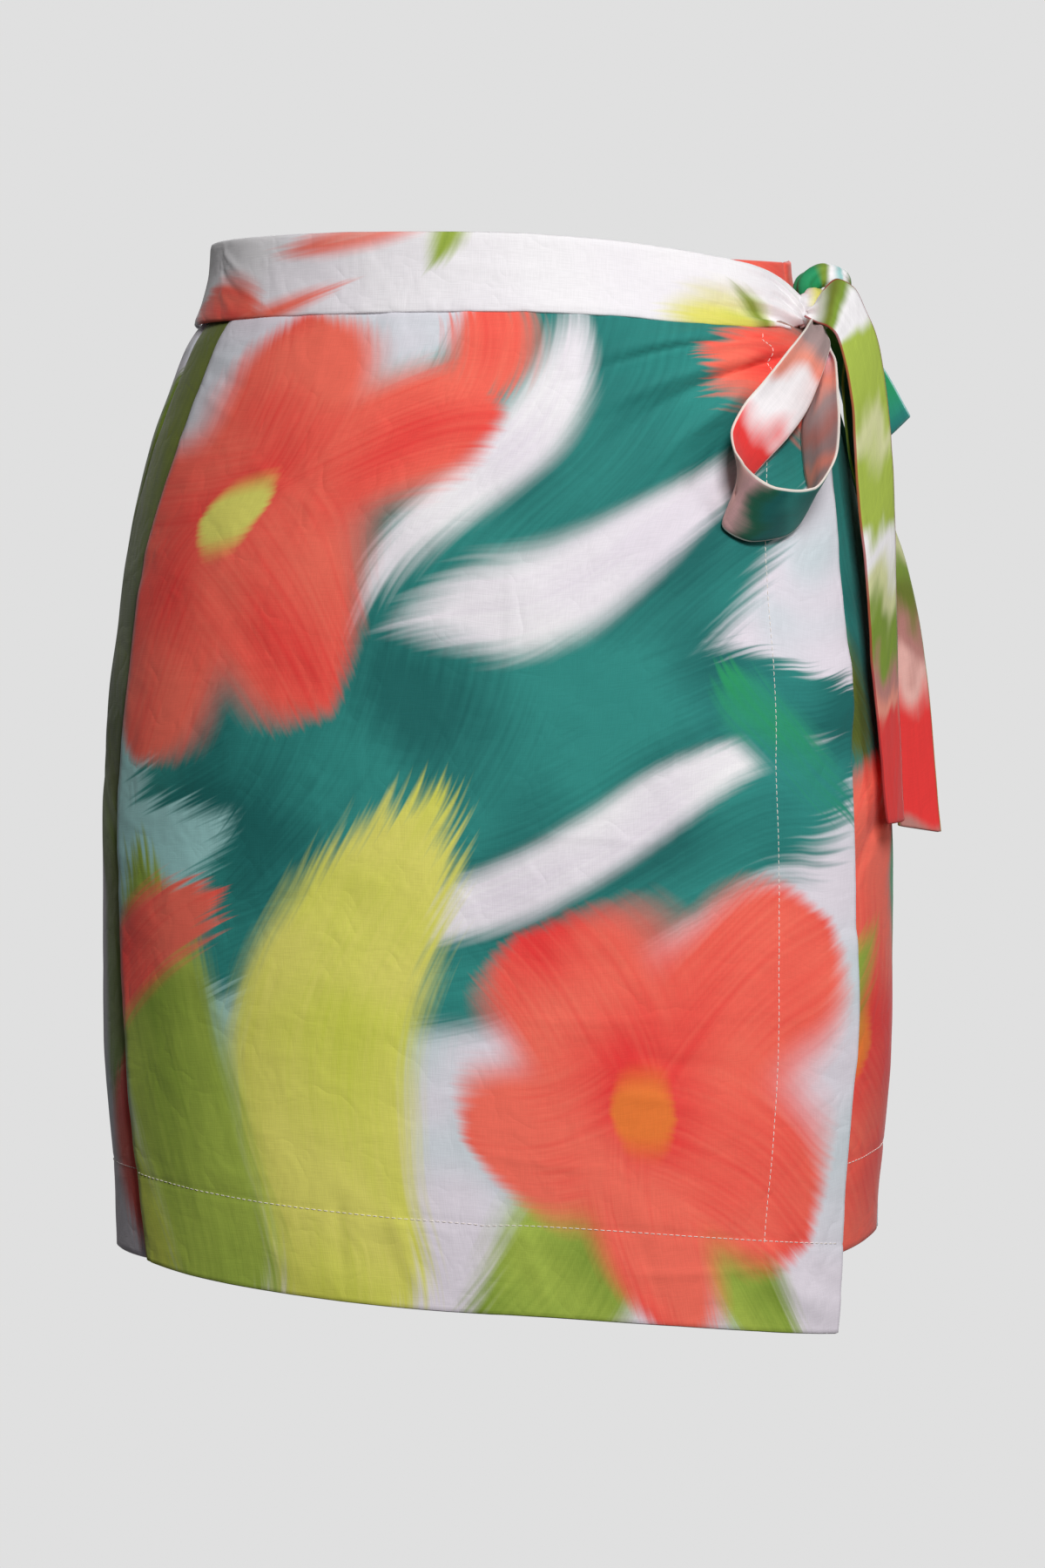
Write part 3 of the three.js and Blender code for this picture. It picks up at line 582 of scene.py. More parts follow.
# Each panel: wearer's side, front or back, hem rise at the side, flat width and length in metres,
# folds (from x, y, to x, y, bow, lift, width, with the middle seam and the head at 0) and print.
SHORTS_PANELS = {
    "shorts_front_left": dict(
        side=1, front=True, hem_rise=11, seed=11, flat=(0.262, 0.414),
        folds=[
            (214, -60, 206, -240, 3, -1.2, 7), (196, -90, 190, -300, -3, 1.1, 9),
            (222, -190, 214, -400, 2, -1.4, 6), (60, -240, 20, -262, 4, -1.5, 6),
            (70, -262, 18, -276, 3, -1.2, 5)],
        motifs=[
            (200, 60, -86, 380, 90, 6, 1.6, 9, 30, DEEP_TEAL, TEAL),
            (110, -30, -70, 200, 26, 6, 1.3, 8, 20, DARK_OLIVE, OLIVE),
            (130, -436, 0, 150, 60, 0, 2.0, 9, 30, RED, CORAL),
            *blossom(196, -318, 20, 104, ORANGE),
            (226, -190, -74, 120, 13, 6, 1.2, 6, 10, LEAF, EMERALD),
            (120, -440, 66, 190, 24, 8, 1.2, 8, 12, LEAF, LIME)]),
    "shorts_back_left": dict(
        side=1, front=False, hem_rise=11, seed=23, flat=(0.286, 0.418),
        folds=[
            (-18, -226, -96, -262, -6, -1.6, 7), (-16, -240, -80, -292, -8, 1.3, 8),
            (-20, -262, -70, -330, -6, -1.5, 6), (-150, -250, -146, -404, 3, -1.6, 9),
            (-96, -300, -92, -408, 2, 1.4, 11), (-196, -150, -190, -330, 3, -1.0, 8)],
        motifs=[
            (-150, -430, 90, 420, 110, 0, 2.0, 26, 20, SEA, SEA),
            (-300, -6, -44, 380, 84, 26, 1.4, 10, 50, DEEP_TEAL, TEAL),
            (30, -20, 206, 320, 66, -20, 1.4, 9, 50, DEEP_TEAL, TEAL),
            (-250, -50, -46, 200, 11, 10, 1.2, 7, 10, LILAC, WHITE),
            *blossom(-170, -262, 8, 96, YELLOW),
            (-10, -420, 130, 210, 26, 10, 1.2, 8, 14, LEAF, LIME),
            (-20, -440, 100, 200, 24, 8, 1.2, 8, 12, LEMON, YELLOW),
            (-262, -440, 78, 230, 46, 8, 1.4, 9, 40, EMERALD, TEAL),
            *blossom(-60, -84, 40, 46, YELLOW)]),
    "shorts_front_right": dict(
        side=-1, front=True, hem_rise=4, seed=37, flat=(0.262, 0.414),
        folds=[
            (-214, -30, -222, -230, -3, -1.1, 5), (-202, -60, -212, -300, 3, 0.9, 7),
            (-226, -160, -226, -380, 2, -1.0, 6), (-60, -240, -20, -262, -4, -1.5, 6)],
        motifs=[
            (-184, 90, -94, 470, 70, -8, 1.6, 8, 30, DARK_OLIVE, OLIVE),
            (-250, -120, -86, 280, 30, 4, 1.2, 8, 12, OLIVE, LEAF),
            (-226, -436, 92, 110, 26, 4, 1.2, 8, 16, RED, CORAL),
            (-90, -40, -80, 300, 46, 12, 1.2, 8, 16, DEEP_TEAL, TEAL)]),
    "shorts_back_right": dict(
        side=-1, front=False, hem_rise=4, seed=53, flat=(0.286, 0.418),
        folds=[
            (18, -222, 98, -258, 6, -1.6, 7), (16, -238, 84, -296, 8, 1.2, 8),
            (20, -260, 66, -338, 6, -1.5, 6), (146, -240, 150, -400, -3, -1.5, 9),
            (98, -290, 94, -404, -2, 1.4, 11), (200, -130, 196, -310, -3, -1.0, 8)],
        motifs=[
            (150, -430, 90, 420, 110, 0, 2.0, 26, 20, SEA, SEA),
            (272, 10, -112, 380, 64, -14, 1.4, 9, 40, OLIVE, LEAF),
            (0, -450, 60, 380, 78, -24, 1.4, 10, 50, DEEP_TEAL, TEAL),
            (6, -280, 72, 300, 54, 18, 1.4, 9, 50, DEEP_TEAL, TEAL),
            (30, -400, 60, 210, 11, -10, 1.2, 7, 10, LILAC, WHITE),
            *blossom(156, -150, 30, 90, ORANGE),
            (140, -440, 84, 210, 28, 10, 1.2, 8, 14, LEMON, YELLOW),
            (190, -446, 98, 190, 22, -8, 1.2, 8, 12, LEAF, LIME),
            *blossom(262, -380, 0, 66, YELLOW)]),
}
shorts_grids = {}
for shorts_name, cut in SHORTS_PANELS.items():
    shorts_grid, shorts_thick, shorts_flat = shorts_panel(
        cut["side"], cut["front"], cut["hem_rise"], cut["folds"], cut["seed"])
    shorts_grids[shorts_name] = (shorts_grid, shorts_flat)
    piece = cloth_shell(shorts_name, shorts_grid, shorts_thick, shorts_flat,
                        printed_cotton(shorts_name + "_print", cut["motifs"]))

# ---- Shorts' waistband -----------------------
# The shorts have their own waistband under the wrap's: two layers of the same cotton with
# interfacing, folded at the top, joined over the side seams and sewn to the four panels.
BAND_CLOTH = 1.6
UNDER_BAND_GRID = 220, 24


def off_form(turn, height, off):
    """A point of the form moved outwards by off, square to its section."""
    bx, by = form_point(turn - 0.5, height)
    ax, ay = form_point(turn + 0.5, height)
    long = np.hypot(ax - bx, ay - by)
    x, y = form_point(turn, height)
    return np.stack([x + (ay - by) / long * off, y - (ax - bx) / long * off, height + 0 * x], axis=-1)


def under_band_top(turn):
    """Height of the band's top: it tilts down to the wearer's left, dips ahead and rises behind."""
    ahead = np.cos(np.radians(turn))
    dip = -8 * np.maximum(ahead, 0) ** 0.7
    return -3.6 - 3.6 * np.sin(np.radians(turn)) + dip + 5 * np.maximum(-ahead, 0)


def under_band(start, end, front, seed):
    """A grid from one side seam to the other, between the band's top and its foot."""
    turn, v = even_grid(*UNDER_BAND_GRID, start, end)
    base = off_form(turn, mix(under_band_top(turn), BAND_FOOT, v), -0.1)
    places = flat_places(base, len(base) // 2)
    x, y = places[..., 0], places[..., 1]
    to_end, to_foot = np.minimum(x - x[:1], x[-1:] - x), y - y[:, -1:]
    lift = waves([(x, y, 30, seed, 0.35), (x, y * 0.3, 9, seed + 1, 0.3 * fade(to_foot, 7))])
    lift = lift - seams([(to_end, 1.0, 1.8), (to_foot, 0.9, 1.6)])
    lift = np.minimum(lift, 0) if front else lift
    return lifted(base, lift), places


# Each half: first and last turn, front or back, seed, its print, and its cut in metres
UNDER_BANDS = {
    "shorts_waistband_front": (
        (-75.95, 75.95, True, 61), [
            (40, -14, 0, 240, 80, 0, 1.2, 10, 12, RED, CORAL),
            (-150, -24, 14, 120, 22, 4, 1.2, 7, 12, OLIVE, LEAF)],
        dict(flat=(0.305, 0.033), sewn_to="shorts_front_left", area=0.0089)),
    "shorts_waistband_back": (
        (76.05, 283.95, False, 67), [
            (-240, -16, 0, 80, 60, 0, 2.0, 8, 10, RED, CORAL),
            (-150, -26, 24, 120, 22, 6, 1.3, 7, 20, DEEP_TEAL, TEAL),
            (-60, -30, 160, 90, 16, 5, 1.2, 6, 12, LEAF, LIME),
            *blossom(-18, -20, 12, 40, YELLOW),
            (40, -30, 20, 100, 16, -5, 1.2, 6, 12, DEEP_TEAL, SEA),
            (186, -8, 190, 80, 14, 4, 1.2, 6, 12, LEMON, YELLOW)],
        dict(flat=(0.385, 0.039), sewn_to="shorts_back_left", area=0.0143)),
}
for half_name, (span, motifs, cut) in UNDER_BANDS.items():
    half, half_flat = under_band(*span)
    piece = cloth_shell(half_name, half, BAND_CLOTH, half_flat,
                        printed_cotton(half_name + "_print", motifs))

# ---- Wrap panel ------------------------------
# The wrap is one wide front panel. Its side at the wearer's right is sewn in, its other side hangs
# free with a facing 43 mm wide stitched down behind it, and its slanting hem is turned up 38 mm. The
# knot draws folds in its upper corner; pressing has left faint lines across it.
WRAP_GRID = 186, 244
WRAP_CLOTH, WRAP_DOUBLE = 0.8, 1.2
WRAP_FACING = 43.0
WRAP_HEM_DEPTH = 38.5
WRAP_HEM_SIDE, WRAP_HEM_CORNER, WRAP_HEM_CURVE = -446.5, -477.0, 1.25

# height, left and right edge as shares of the half width, stand-off at the left, middle and right
WRAP_EDGES = np.array([
    (-36, 0.875, 0.968, 0.5, 0.5, 0.8),
    (-62, 0.882, 0.945, 0.5, 0.8, 2.0),
    (-92, 0.893, 0.910, 0.5, 1.0, 2.5),
    (-147, 0.932, 0.876, 0.5, 1.0, 3.0),
    (-193, 0.933, 0.868, 0.5, 1.0, 3.5),
    (-240, 0.938, 0.862, 0.5, 1.5, 4.0),
    (-298, 0.935, 0.864, 0.5, 3.0, 4.5),
    (-356, 0.921, 0.863, 0.6, 5.0, 5.0),
    (-410, 0.911, 0.859, 1.0, 7.0, 6.0),
    (-480, 0.868, 0.845, 2.5, 9.0, 7.0),
])
wrap_left, wrap_right, off_left, off_middle, off_right = smooth_columns(WRAP_EDGES)


# turn, top, foot and stand-off of the wrap's waistband, whose foot is the panel's head
WRAP_BAND = np.array([
    (-95, 0, -35.5, 0.7),
    (-60, -1.6, -36.5, 0.7),
    (-30, -2.7, -37, 0.7),
    (0, -4.1, -37.2, 0.7),
    (20, -6.5, -38.5, 0.7),
    (35, -9.5, -40.5, 0.8),
    (50, -12.5, -41, 1.0),
    (60, -15, -40, 1.4),
    (67, -19, -39, 2.4),
    (73, -25, -37.5, 4.2),
])
band_top, band_foot, band_off = smooth_columns(WRAP_BAND)

# Folds drawn by the knot and lines left by pressing: from x, height, to x, height, bow, lift, width
WRAP_FOLDS = [
    (138, -48, 10, -78, 6, 1.6, 17), (134, -42, 20, -62, 5, 2.7, 4.2),
    (136, -45, 16, -75, 7, -3.4, 2.6), (134, -48, 26, -88, 6, 4.0, 4.8),
    (133, -50, 38, -100, 5, -3.6, 2.8), (131, -54, 46, -118, 5, 3.6, 5.6),
    (128, -60, 72, -128, 4, -2.8, 3.4), (132, -47, 74, -60, 4, -1.6, 1.5),
    (40, -43, 24, -68, 2, 0.8, 2.4), (30, -42, 17, -60, 2, -0.8, 2.2),
    (60, -44, 38, -62, 2, 0.8, 2.6),
]
WRAP_LINES = [
    (5, -134, 3, -275, 1, 0.42, 1.3), (8, -262, 78, -268, -2, 0.4, 1.4),
    (10, -340, 82, -336, 3, 0.38, 1.4), (-8, -396, 56, -404, 2, 0.42, 1.4),
    (52, -448, 146, -444, 2, 0.5, 1.6), (-60, -180, -58, -300, 2, 0.25, 1.4),
    (-150, -196, -70, -190, 2, 0.22, 1.5), (54, -352, 92, -360, 3, -0.5, 3),
    (48, -372, 90, -384, -3, 0.45, 3), (-110, -100, -66, -128, 3, 0.35, 3),
    (-126, -150, -96, -196, 3, -0.35, 4), (70, -196, 96, -236, 3, 0.3, 3),
    (-128, -52, -108, -58, 1, 0.5, 2.2), (-129, -60, -106, -70, 1, -0.5, 2.4),
    (-130, -70, -112, -84, 1, 0.4, 2.6), (-104, -412, -92, -452, 2, 0.7, 3.4),
    (-70, -414, -66, -458, 1, -0.7, 3.2), (-46, -420, -30, -464, 2, 0.8, 3.6),
    (8, -428, 26, -470, 2, 0.8, 3.6), (60, -434, 74, -474, 2, -0.6, 3.4),
    (112, -436, 146, -474, 4, 1.6, 4.5), (124, -434, 148, -462, 3, -1.1, 3.2),
    (104, -440, 126, -476, 3, -0.7, 3.5),
]


def turn_at(share, height):
    """The turn at which the form reaches a share of its half width, ahead."""
    return np.degrees(np.arcsin(share ** (form_power(height) / 2)))


def wrap_grid():
    """The panel as a grid: its head tucks under the band; every other row runs from the sewn edge to
    the free one, off the form by the edge table and lifted by the drag folds."""
    u, v = even_grid(*WRAP_GRID)
    hem = mix(WRAP_HEM_CORNER, WRAP_HEM_SIDE, (1 - u) ** WRAP_HEM_CURVE)
    spread = lambda z: mix(-turn_at(wrap_left(z), z), turn_at(wrap_right(z), z), u)
    head = band_foot(spread(band_foot(spread(np.full_like(u, BAND_FOOT))))) - 0.6
    height = mix(head + 3.0, hem, v)
    turn = spread(height)
    stand = mix(off_middle(height), np.where(u < 0.5, off_left(height), off_right(height)),
                ease(0, 1, np.abs(2 * u - 1)))
    free = ease(0, 1, u * 6) * ease(-3, 9, head - height) * mix(0.3, 1, ease(0.97, 0.82, u))
    folded = creases(form_point(turn, height)[0], height, WRAP_FOLDS) * free
    off = np.maximum(stand + folded, 0.4) + WRAP_DOUBLE
    off = mix(off, band_off(turn) + 0.2, ease(-1.8, 1.2, height - head))
    return off_form(turn, height, off)


wrap_base = wrap_grid()
wrap_flat = flat_places(wrap_base, len(wrap_base) // 2)
flat_x, flat_y = wrap_flat[..., 0], wrap_flat[..., 1]
to_free, to_sewn = flat_x[-1:] - flat_x, flat_x - flat_x[:1]
to_hem, to_head = flat_y - flat_y[:, -1:], -flat_y
loose = ease(2, 16, to_head)
in_facing = ease(WRAP_FACING, 4, to_free) * loose
facing_line = (to_free - WRAP_FACING) * ease(12, 20, to_head)
hem_line = to_hem - WRAP_HEM_DEPTH
wrap_lift = creases(wrap_base[..., 0], wrap_base[..., 2], WRAP_LINES)
wrap_lift += (0.5 - np.abs(soft_noise(flat_x, flat_y, 17, 103))) * 0.34 * loose
wrap_lift += waves([
    (flat_x, flat_y, 88, 101, 1.0 * loose * ease(0, 40, to_sewn)),
    (flat_x + 0.5 * flat_y, flat_y, 34, 102, 0.55 * loose),
    (flat_y, to_free * 0.4, 15, 104, 0.9 * in_facing),
    (flat_y, to_free * 0.2, 38, 105, 1.3 * in_facing),
    (flat_y, facing_line * 0.2, 9, 106, 0.32 * fade(facing_line, 7)),
    (flat_x, hem_line * 0.2, 10, 107, 0.36 * fade(hem_line, 8)),
    (flat_y, to_sewn * 0.2, 11, 108, 0.4 * fade(to_sewn, 9)),
    (flat_x, to_head * 0.15, 8, 109, 0.35 * bell(to_head - 6, 6)),
    (flat_x, flat_y, 30, 110, 1.6 * ease(60, 0, to_hem) * ease(20, 90, to_sewn)),
])
wrap_lift -= seams([(to_free - WRAP_FACING, 0.4 * ease(8, 24, to_head), 1.2), (hem_line, 0.4, 1.2),
                    (to_sewn, 0.9, 2.0)])
wrap_outer = lifted(wrap_base, np.maximum(wrap_lift, -0.9))
wrap_double = np.maximum(ease(WRAP_FACING + 1, WRAP_FACING - 1, to_free),
                         ease(WRAP_HEM_DEPTH + 1, WRAP_HEM_DEPTH - 1, to_hem))
wrap_print = printed_cotton("wrap_print", [
    (-40, -40, 256, 360, 110, 0, 2.0, 26, 20, SEA, SEA),
    (190, -6, 214, 400, 82, 26, 1.4, 10, 40, DEEP_TEAL, TEAL),
    (200, -170, 200, 360, 76, -16, 1.4, 9, 40, DEEP_TEAL, TEAL),
    (60, 24, 246, 330, 66, 20, 1.4, 9, 40, DEEP_TEAL, TEAL),
    (136, -62, 214, 176, 17, 12, 1.1, 7, 12, LILAC, WHITE),
    (156, -196, 202, 210, 17, -10, 1.1, 7, 12, LILAC, WHITE),
    (20, -24, 250, 134, 14, 8, 1.1, 7, 12, LILAC, WHITE),
    (-40, -500, 46, 250, 30, -14, 1.3, 8, 30, LEAF, LIME),
    (-86, -480, 76, 290, 38, 8, 1.5, 9, 40, LEMON, YELLOW),
    (-108, -480, 98, 250, 32, -12, 1.3, 8, 30, LEAF, LIME),
    (-140, -480, 114, 220, 26, 8, 1.3, 8, 30, LEMON, LIME),
    (170, -470, 118, 170, 24, 8, 1.3, 8, 30, LEAF, LIME),
    *blossom(-104, -100, 20, 102, YELLOW),
    *blossom(92, -350, 52, 96, ORANGE),
    (-190, -330, 40, 110, 26, 8, 1.8, 8, 36, RED, CORAL),
    (166, -246, 120, 100, 18, 6, 1.3, 7, 20, EMERALD, TEAL),
    (172, -14, 182, 110, 22, -8, 1.8, 9, 40, RED, CORAL),
    (-20, -10, 268, 60, 16, 4, 1.8, 8, 40, RED, CORAL),
])
wrap_piece = cloth_shell("wrap_panel", wrap_outer, mix(WRAP_CLOTH, WRAP_DOUBLE, wrap_double), wrap_flat,
                         wrap_print)

# ---- Wrap's waistband ------------------------
# The wrap's own band is a straight strip with interfacing, folded along its top and sewn to the
# panel's head. At the wearer's left it narrows into tucks where the knot pulls it together.
BAND_GRID = 330, 40
BAND_TURNS = -95, 73
BAND_MIDDLE = 187
BLUSH = tint(240, 184, 174)

# from x, down, to x, down, bow, lift, width
BAND_TUCKS = [
    (157, -14, 70, -11, 2, 2.0, 6.5), (157, -20, 86, -22, -2, -3.0, 1.5),
    (157, -17, 126, -11, 1, -2.0, 1.1), (157, -15, 118, -4, 2, -1.8, 1.2),
    (157, -12, 96, 0, 2, 1.4, 2.4), (157, -18.5, 100, -17, 0, 1.6, 1.8),
    (157, -22, 96, -27, -1, 1.2, 2.2), (156, -25, 112, -31, -1, -0.8, 1.4),
    (-146, -4, -126, -16, 1, 0.5, 2.0), (-148, -12, -124, -26, 2, -0.55, 2.2),
    (-146, -22, -130, -34, 1, 0.45, 2.2), (-30, -12, 36, -15, 2, 0.25, 3.2),
    (-96, -20, -48, -16, 2, -0.22, 3.5),
]
turn, v = even_grid(*BAND_GRID, *BAND_TURNS)
band_base = off_form(turn, mix(band_top(turn), band_foot(turn), v), band_off(turn) + 2.0)
band_flat = flat_places(band_base, BAND_MIDDLE)
band_x, band_y = band_flat[..., 0], band_flat[..., 1]
band_low = band_y - band_y[:, -1:]
band_lift = creases(band_x, band_y, BAND_TUCKS) + waves([
    (band_x, band_y, 42, 121, 0.4), (band_x, band_y, 14, 122, 0.12),
    (band_x, band_low * 0.2, 8, 123, 0.3 * fade(band_low, 6))])
band_lift -= seams([(band_low, 0.55, 1.3), (band_y, 0.4, 1.2)])
band_lift = np.maximum(band_lift, -0.6 - 2.0 * ease(50, 70, turn))
band_print = printed_cotton("wrap_waistband_print", [
    (-168, -6, -28, 60, 14, 3, 1.2, 6, 14, RED, CORAL),
    (-110, 2, -6, 84, 7, 2, 1.2, 6, 10, BLUSH, CORAL),
    (-150, -33, 4, 70, 5, 0, 1.2, 5, 8, BLUSH, CORAL),
    (-30, -34, 66, 46, 7, -3, 1.2, 5, 10, LEAF, LIME),
    (60, -30, 8, 80, 12, 3, 1.2, 9, 12, LEMON, YELLOW),
    (96, -8, -16, 40, 4, 1, 1.2, 4, 6, OLIVE, LIME),
], ground=WHITE, wash=LILAC, wash_share=0.5)
band_piece = cloth_shell("wrap_waistband", lifted(band_base, band_lift), BAND_CLOTH, band_flat,
                         band_print)

# ---- Bow: two loops and two hanging ends -----
# The ties are strips 28 mm wide of two layers of the same cotton, turned right side out and pressed.
# Knotted at the wearer's left they make an open loop ahead, a flat folded loop behind, and two ends
# that hang free, cut nearly straight across.
TIE_CLOTH = 1.3
TIE_ROWS = 15
TIE_CRINKLE = 0.0004
BACK_LOOP_LEAN = 41.8
SMEAR_CELLS, SMEAR_REACH = (1 / 2.6, 1 / 48, 0), 0.008
CLOUD_CELLS, CLOUD_REACH = (1 / 26, 1 / 26, 0), 0.1

# near edge x, height; far edge x, height, y; width, from the knot round to the knot
FRONT_LOOP = np.array([
    (136, -36, 140, -37, -28, 8), (131, -43, 143, -47, -51, 20), (123, -53, 140, -58, -64, 26),
    (111, -68, 132, -77, -71, 28), (103, -78, 123, -90, -78, 28), (97, -91, 111, -103, -86, 28),
    (98, -98, 104, -111, -91, 28), (101, -103, 98, -119, -96, 28), (106, -108, 94, -129, -99, 28),
    (117, -114, 107, -136, -95, 28), (126, -115, 120, -134, -87, 28),
    (133, -114, 128, -128, -80, 28), (140, -106, 133, -116, -72, 28),
    (144, -96, 131, -104, -69, 28), (145, -82, 130, -89, -68, 27), (145, -69, 132, -75, -60, 24),
    (145, -58, 136, -63, -50, 18), (143, -48, 139, -51, -33, 12), (141, -37, 139, -38, -22, 6),
])
# middle x, y, height and width of the folded loop behind
BACK_LOOP = np.array([
    (141, -20, -31, 8), (151, -11, -45, 16), (162, -4, -66, 24), (169, 0, -81, 27),
    (171, 4, -85, 28), (169, 8, -81, 27), (161, 6, -65, 22), (151, -3, -46, 12), (141, -14, -34, 6),
])
# inner edge x, y, height, then outer edge x, y, height, of each hanging end
FRONT_END = np.array([
    (133, -41, -35, 135, -41, -32), (138, -44, -38, 140, -42, -24), (142, -46, -40, 147, -33, -18),
    (145, -48, -43, 154, -28, -21), (147, -47, -47, 160, -27, -32), (149, -50, -55, 165, -28, -45),
    (152, -56, -76, 169, -32, -72), (154, -60, -110, 171, -37, -107),
    (157, -61, -145, 172, -38, -142), (160, -61, -184, 173, -37, -182),
    (164, -61, -222, 174, -36, -221), (167, -60, -257, 176, -35, -256),
])
BACK_END = np.array([
    (144, -24, -30, 147, -20, -25), (152, -27, -44, 158, -16, -34), (149, -34, -64, 166, -12, -56),
    (151.5, -37, -94, 169, -10, -90), (159, -36, -122, 172, -9, -120),
    (167, -34, -146, 179, -10, -144), (171, -32, -188, 187, -11, -186),
    (173, -30, -240, 192, -11, -241), (174, -29, -258, 194, -12, -261),
])


def along_rows(table, steps):
    """A table's columns as smooth curves over its row numbers, taken at even steps."""
    at = np.linspace(0, len(table) - 1, steps)
    return np.stack([smooth_column(np.arange(len(table)), column)(at) for column in table.T], axis=1)


def front_loop_edges(steps):
    """Both edges of the loop ahead. What of its width isn't seen from ahead runs in depth."""
    row = along_rows(FRONT_LOOP, steps)
    seen = np.hypot(row[:, 0] - row[:, 2], row[:, 1] - row[:, 3])
    reach = np.sqrt(np.maximum(row[:, 5] ** 2 - seen ** 2, 1))
    near = np.stack([row[:, 0], row[:, 4] - reach, row[:, 1]], axis=1)
    return near, np.stack([row[:, 2], row[:, 4], row[:, 3]], axis=1)


def back_loop_edges(steps):
    """Both edges of the loop behind, whose width leans from level."""
    row = along_rows(BACK_LOOP, steps)
    lean = math.radians(BACK_LOOP_LEAN)
    half = row[:, 3:4] / 2 * (math.cos(lean), 0, math.sin(lean))
    return row[:, :3] - half, row[:, :3] + half


def end_edges(table, steps):
    """Both edges of a hanging end."""
    row = along_rows(table, steps)
    return row[:, :3], row[:, 3:]


def tie_grid(near, far, ripple, gathers, seed):
    """A strip between two edges. It is a little crowned, ripples along its edges, and near each
    gathered end is drawn into lengthwise pleats that fade out along it."""
    u, v = even_grid(TIE_ROWS, len(near))
    middle = near[None] + (far - near)[None] * u[..., None]
    places = flat_places(middle, 0)
    y = places[..., 1]
    lift = 0.35 * (1 - (2 * u - 1) ** 2) + soft_noise(y, u * 14, 24, seed) * ripple
    lift = lift + soft_noise(y, u * 22, 9, seed + 1) * ripple * 0.3
    for at, reach, height, turns in gathers:
        away = np.abs(v - at) / reach
        lift = lift + height * np.cos(2 * math.pi * turns * u + 0.6) * np.exp(-away ** 1.4)
    return lifted(middle, TIE_CLOTH / 2 + lift), places


def tie_cotton(name, face, behind, edge):
    """A tie's cotton: the print crosses it in soft bands along its length, one run of colours on its face and
    one behind, some of whose stops are painted shade; its pressed edges have a colour of their own."""
    made, tree = new_material(name)
    cloth = flat_cloth(tree)
    shares = wire(tree, "ShaderNodeUVMap", uv_map="share")
    across, moved, _ = wire(tree, "ShaderNodeSeparateXYZ", {0: shares}).outputs
    smear, cloud = (noise_2d(tree, reckon_3d(tree, "MULTIPLY", cloth, cells), 1.0, 1.0)
                    for cells in (SMEAR_CELLS, CLOUD_CELLS))
    for noise, reach in ((smear, SMEAR_REACH), (cloud, CLOUD_REACH)):
        moved = reckon(tree, "MULTIPLY_ADD", reckon(tree, "SUBTRACT", noise, 0.5), reach, moved)
    runs = []
    for stops in (face, behind):
        run = wire(tree, "ShaderNodeValToRGB", {0: moved})
        run.color_ramp.interpolation = "EASE"
        while len(run.color_ramp.elements) < len(stops):
            run.color_ramp.elements.new(0.5)
        for element, (place, shade) in zip(run.color_ramp.elements, stops):
            element.position = place
            element.color = shade
        runs.append(run)
    reverse = wire(tree, "ShaderNodeAttribute", attribute_name="reverse").outputs["Fac"]
    streaked = soft_step(tree, smear, 0.25, 0.75, 0.97, 1.02)
    colour = scaled(tree, blend_colour(tree, reverse, *runs), streaked)
    rim = reckon(tree, "ADD", soft_step(tree, across, 0.03, 0.01), soft_step(tree, across, 0.98, 0.995))
    colour = blend_colour(tree, reckon(tree, "MULTIPLY", rim, 0.85), colour, edge)
    cloth_finish(tree, colour, cloth, TIE_CRINKLE, paling=0)
    return made


# The browned salmon is painted shade on the loop ahead and on the end behind, salmon print darkened where
# they turn from the light; on the end ahead it is the print's brown where green runs into salmon.
# The greyed pink is painted shade: the print's pink darkened where the loop ahead turns from the light.
SHADED_PINK, DUSTY, BROWN_PRINT_AND_SHADE = tint(170, 146, 144), tint(206, 160, 160), tint(190, 130, 122)
MAUVE, DARK_GREEN, WINE = tint(216, 196, 226), tint(30, 92, 70), tint(150, 40, 42)
CREAM, SALMON, PALE_LIME = tint(240, 232, 222), tint(240, 152, 132), tint(212, 214, 160)

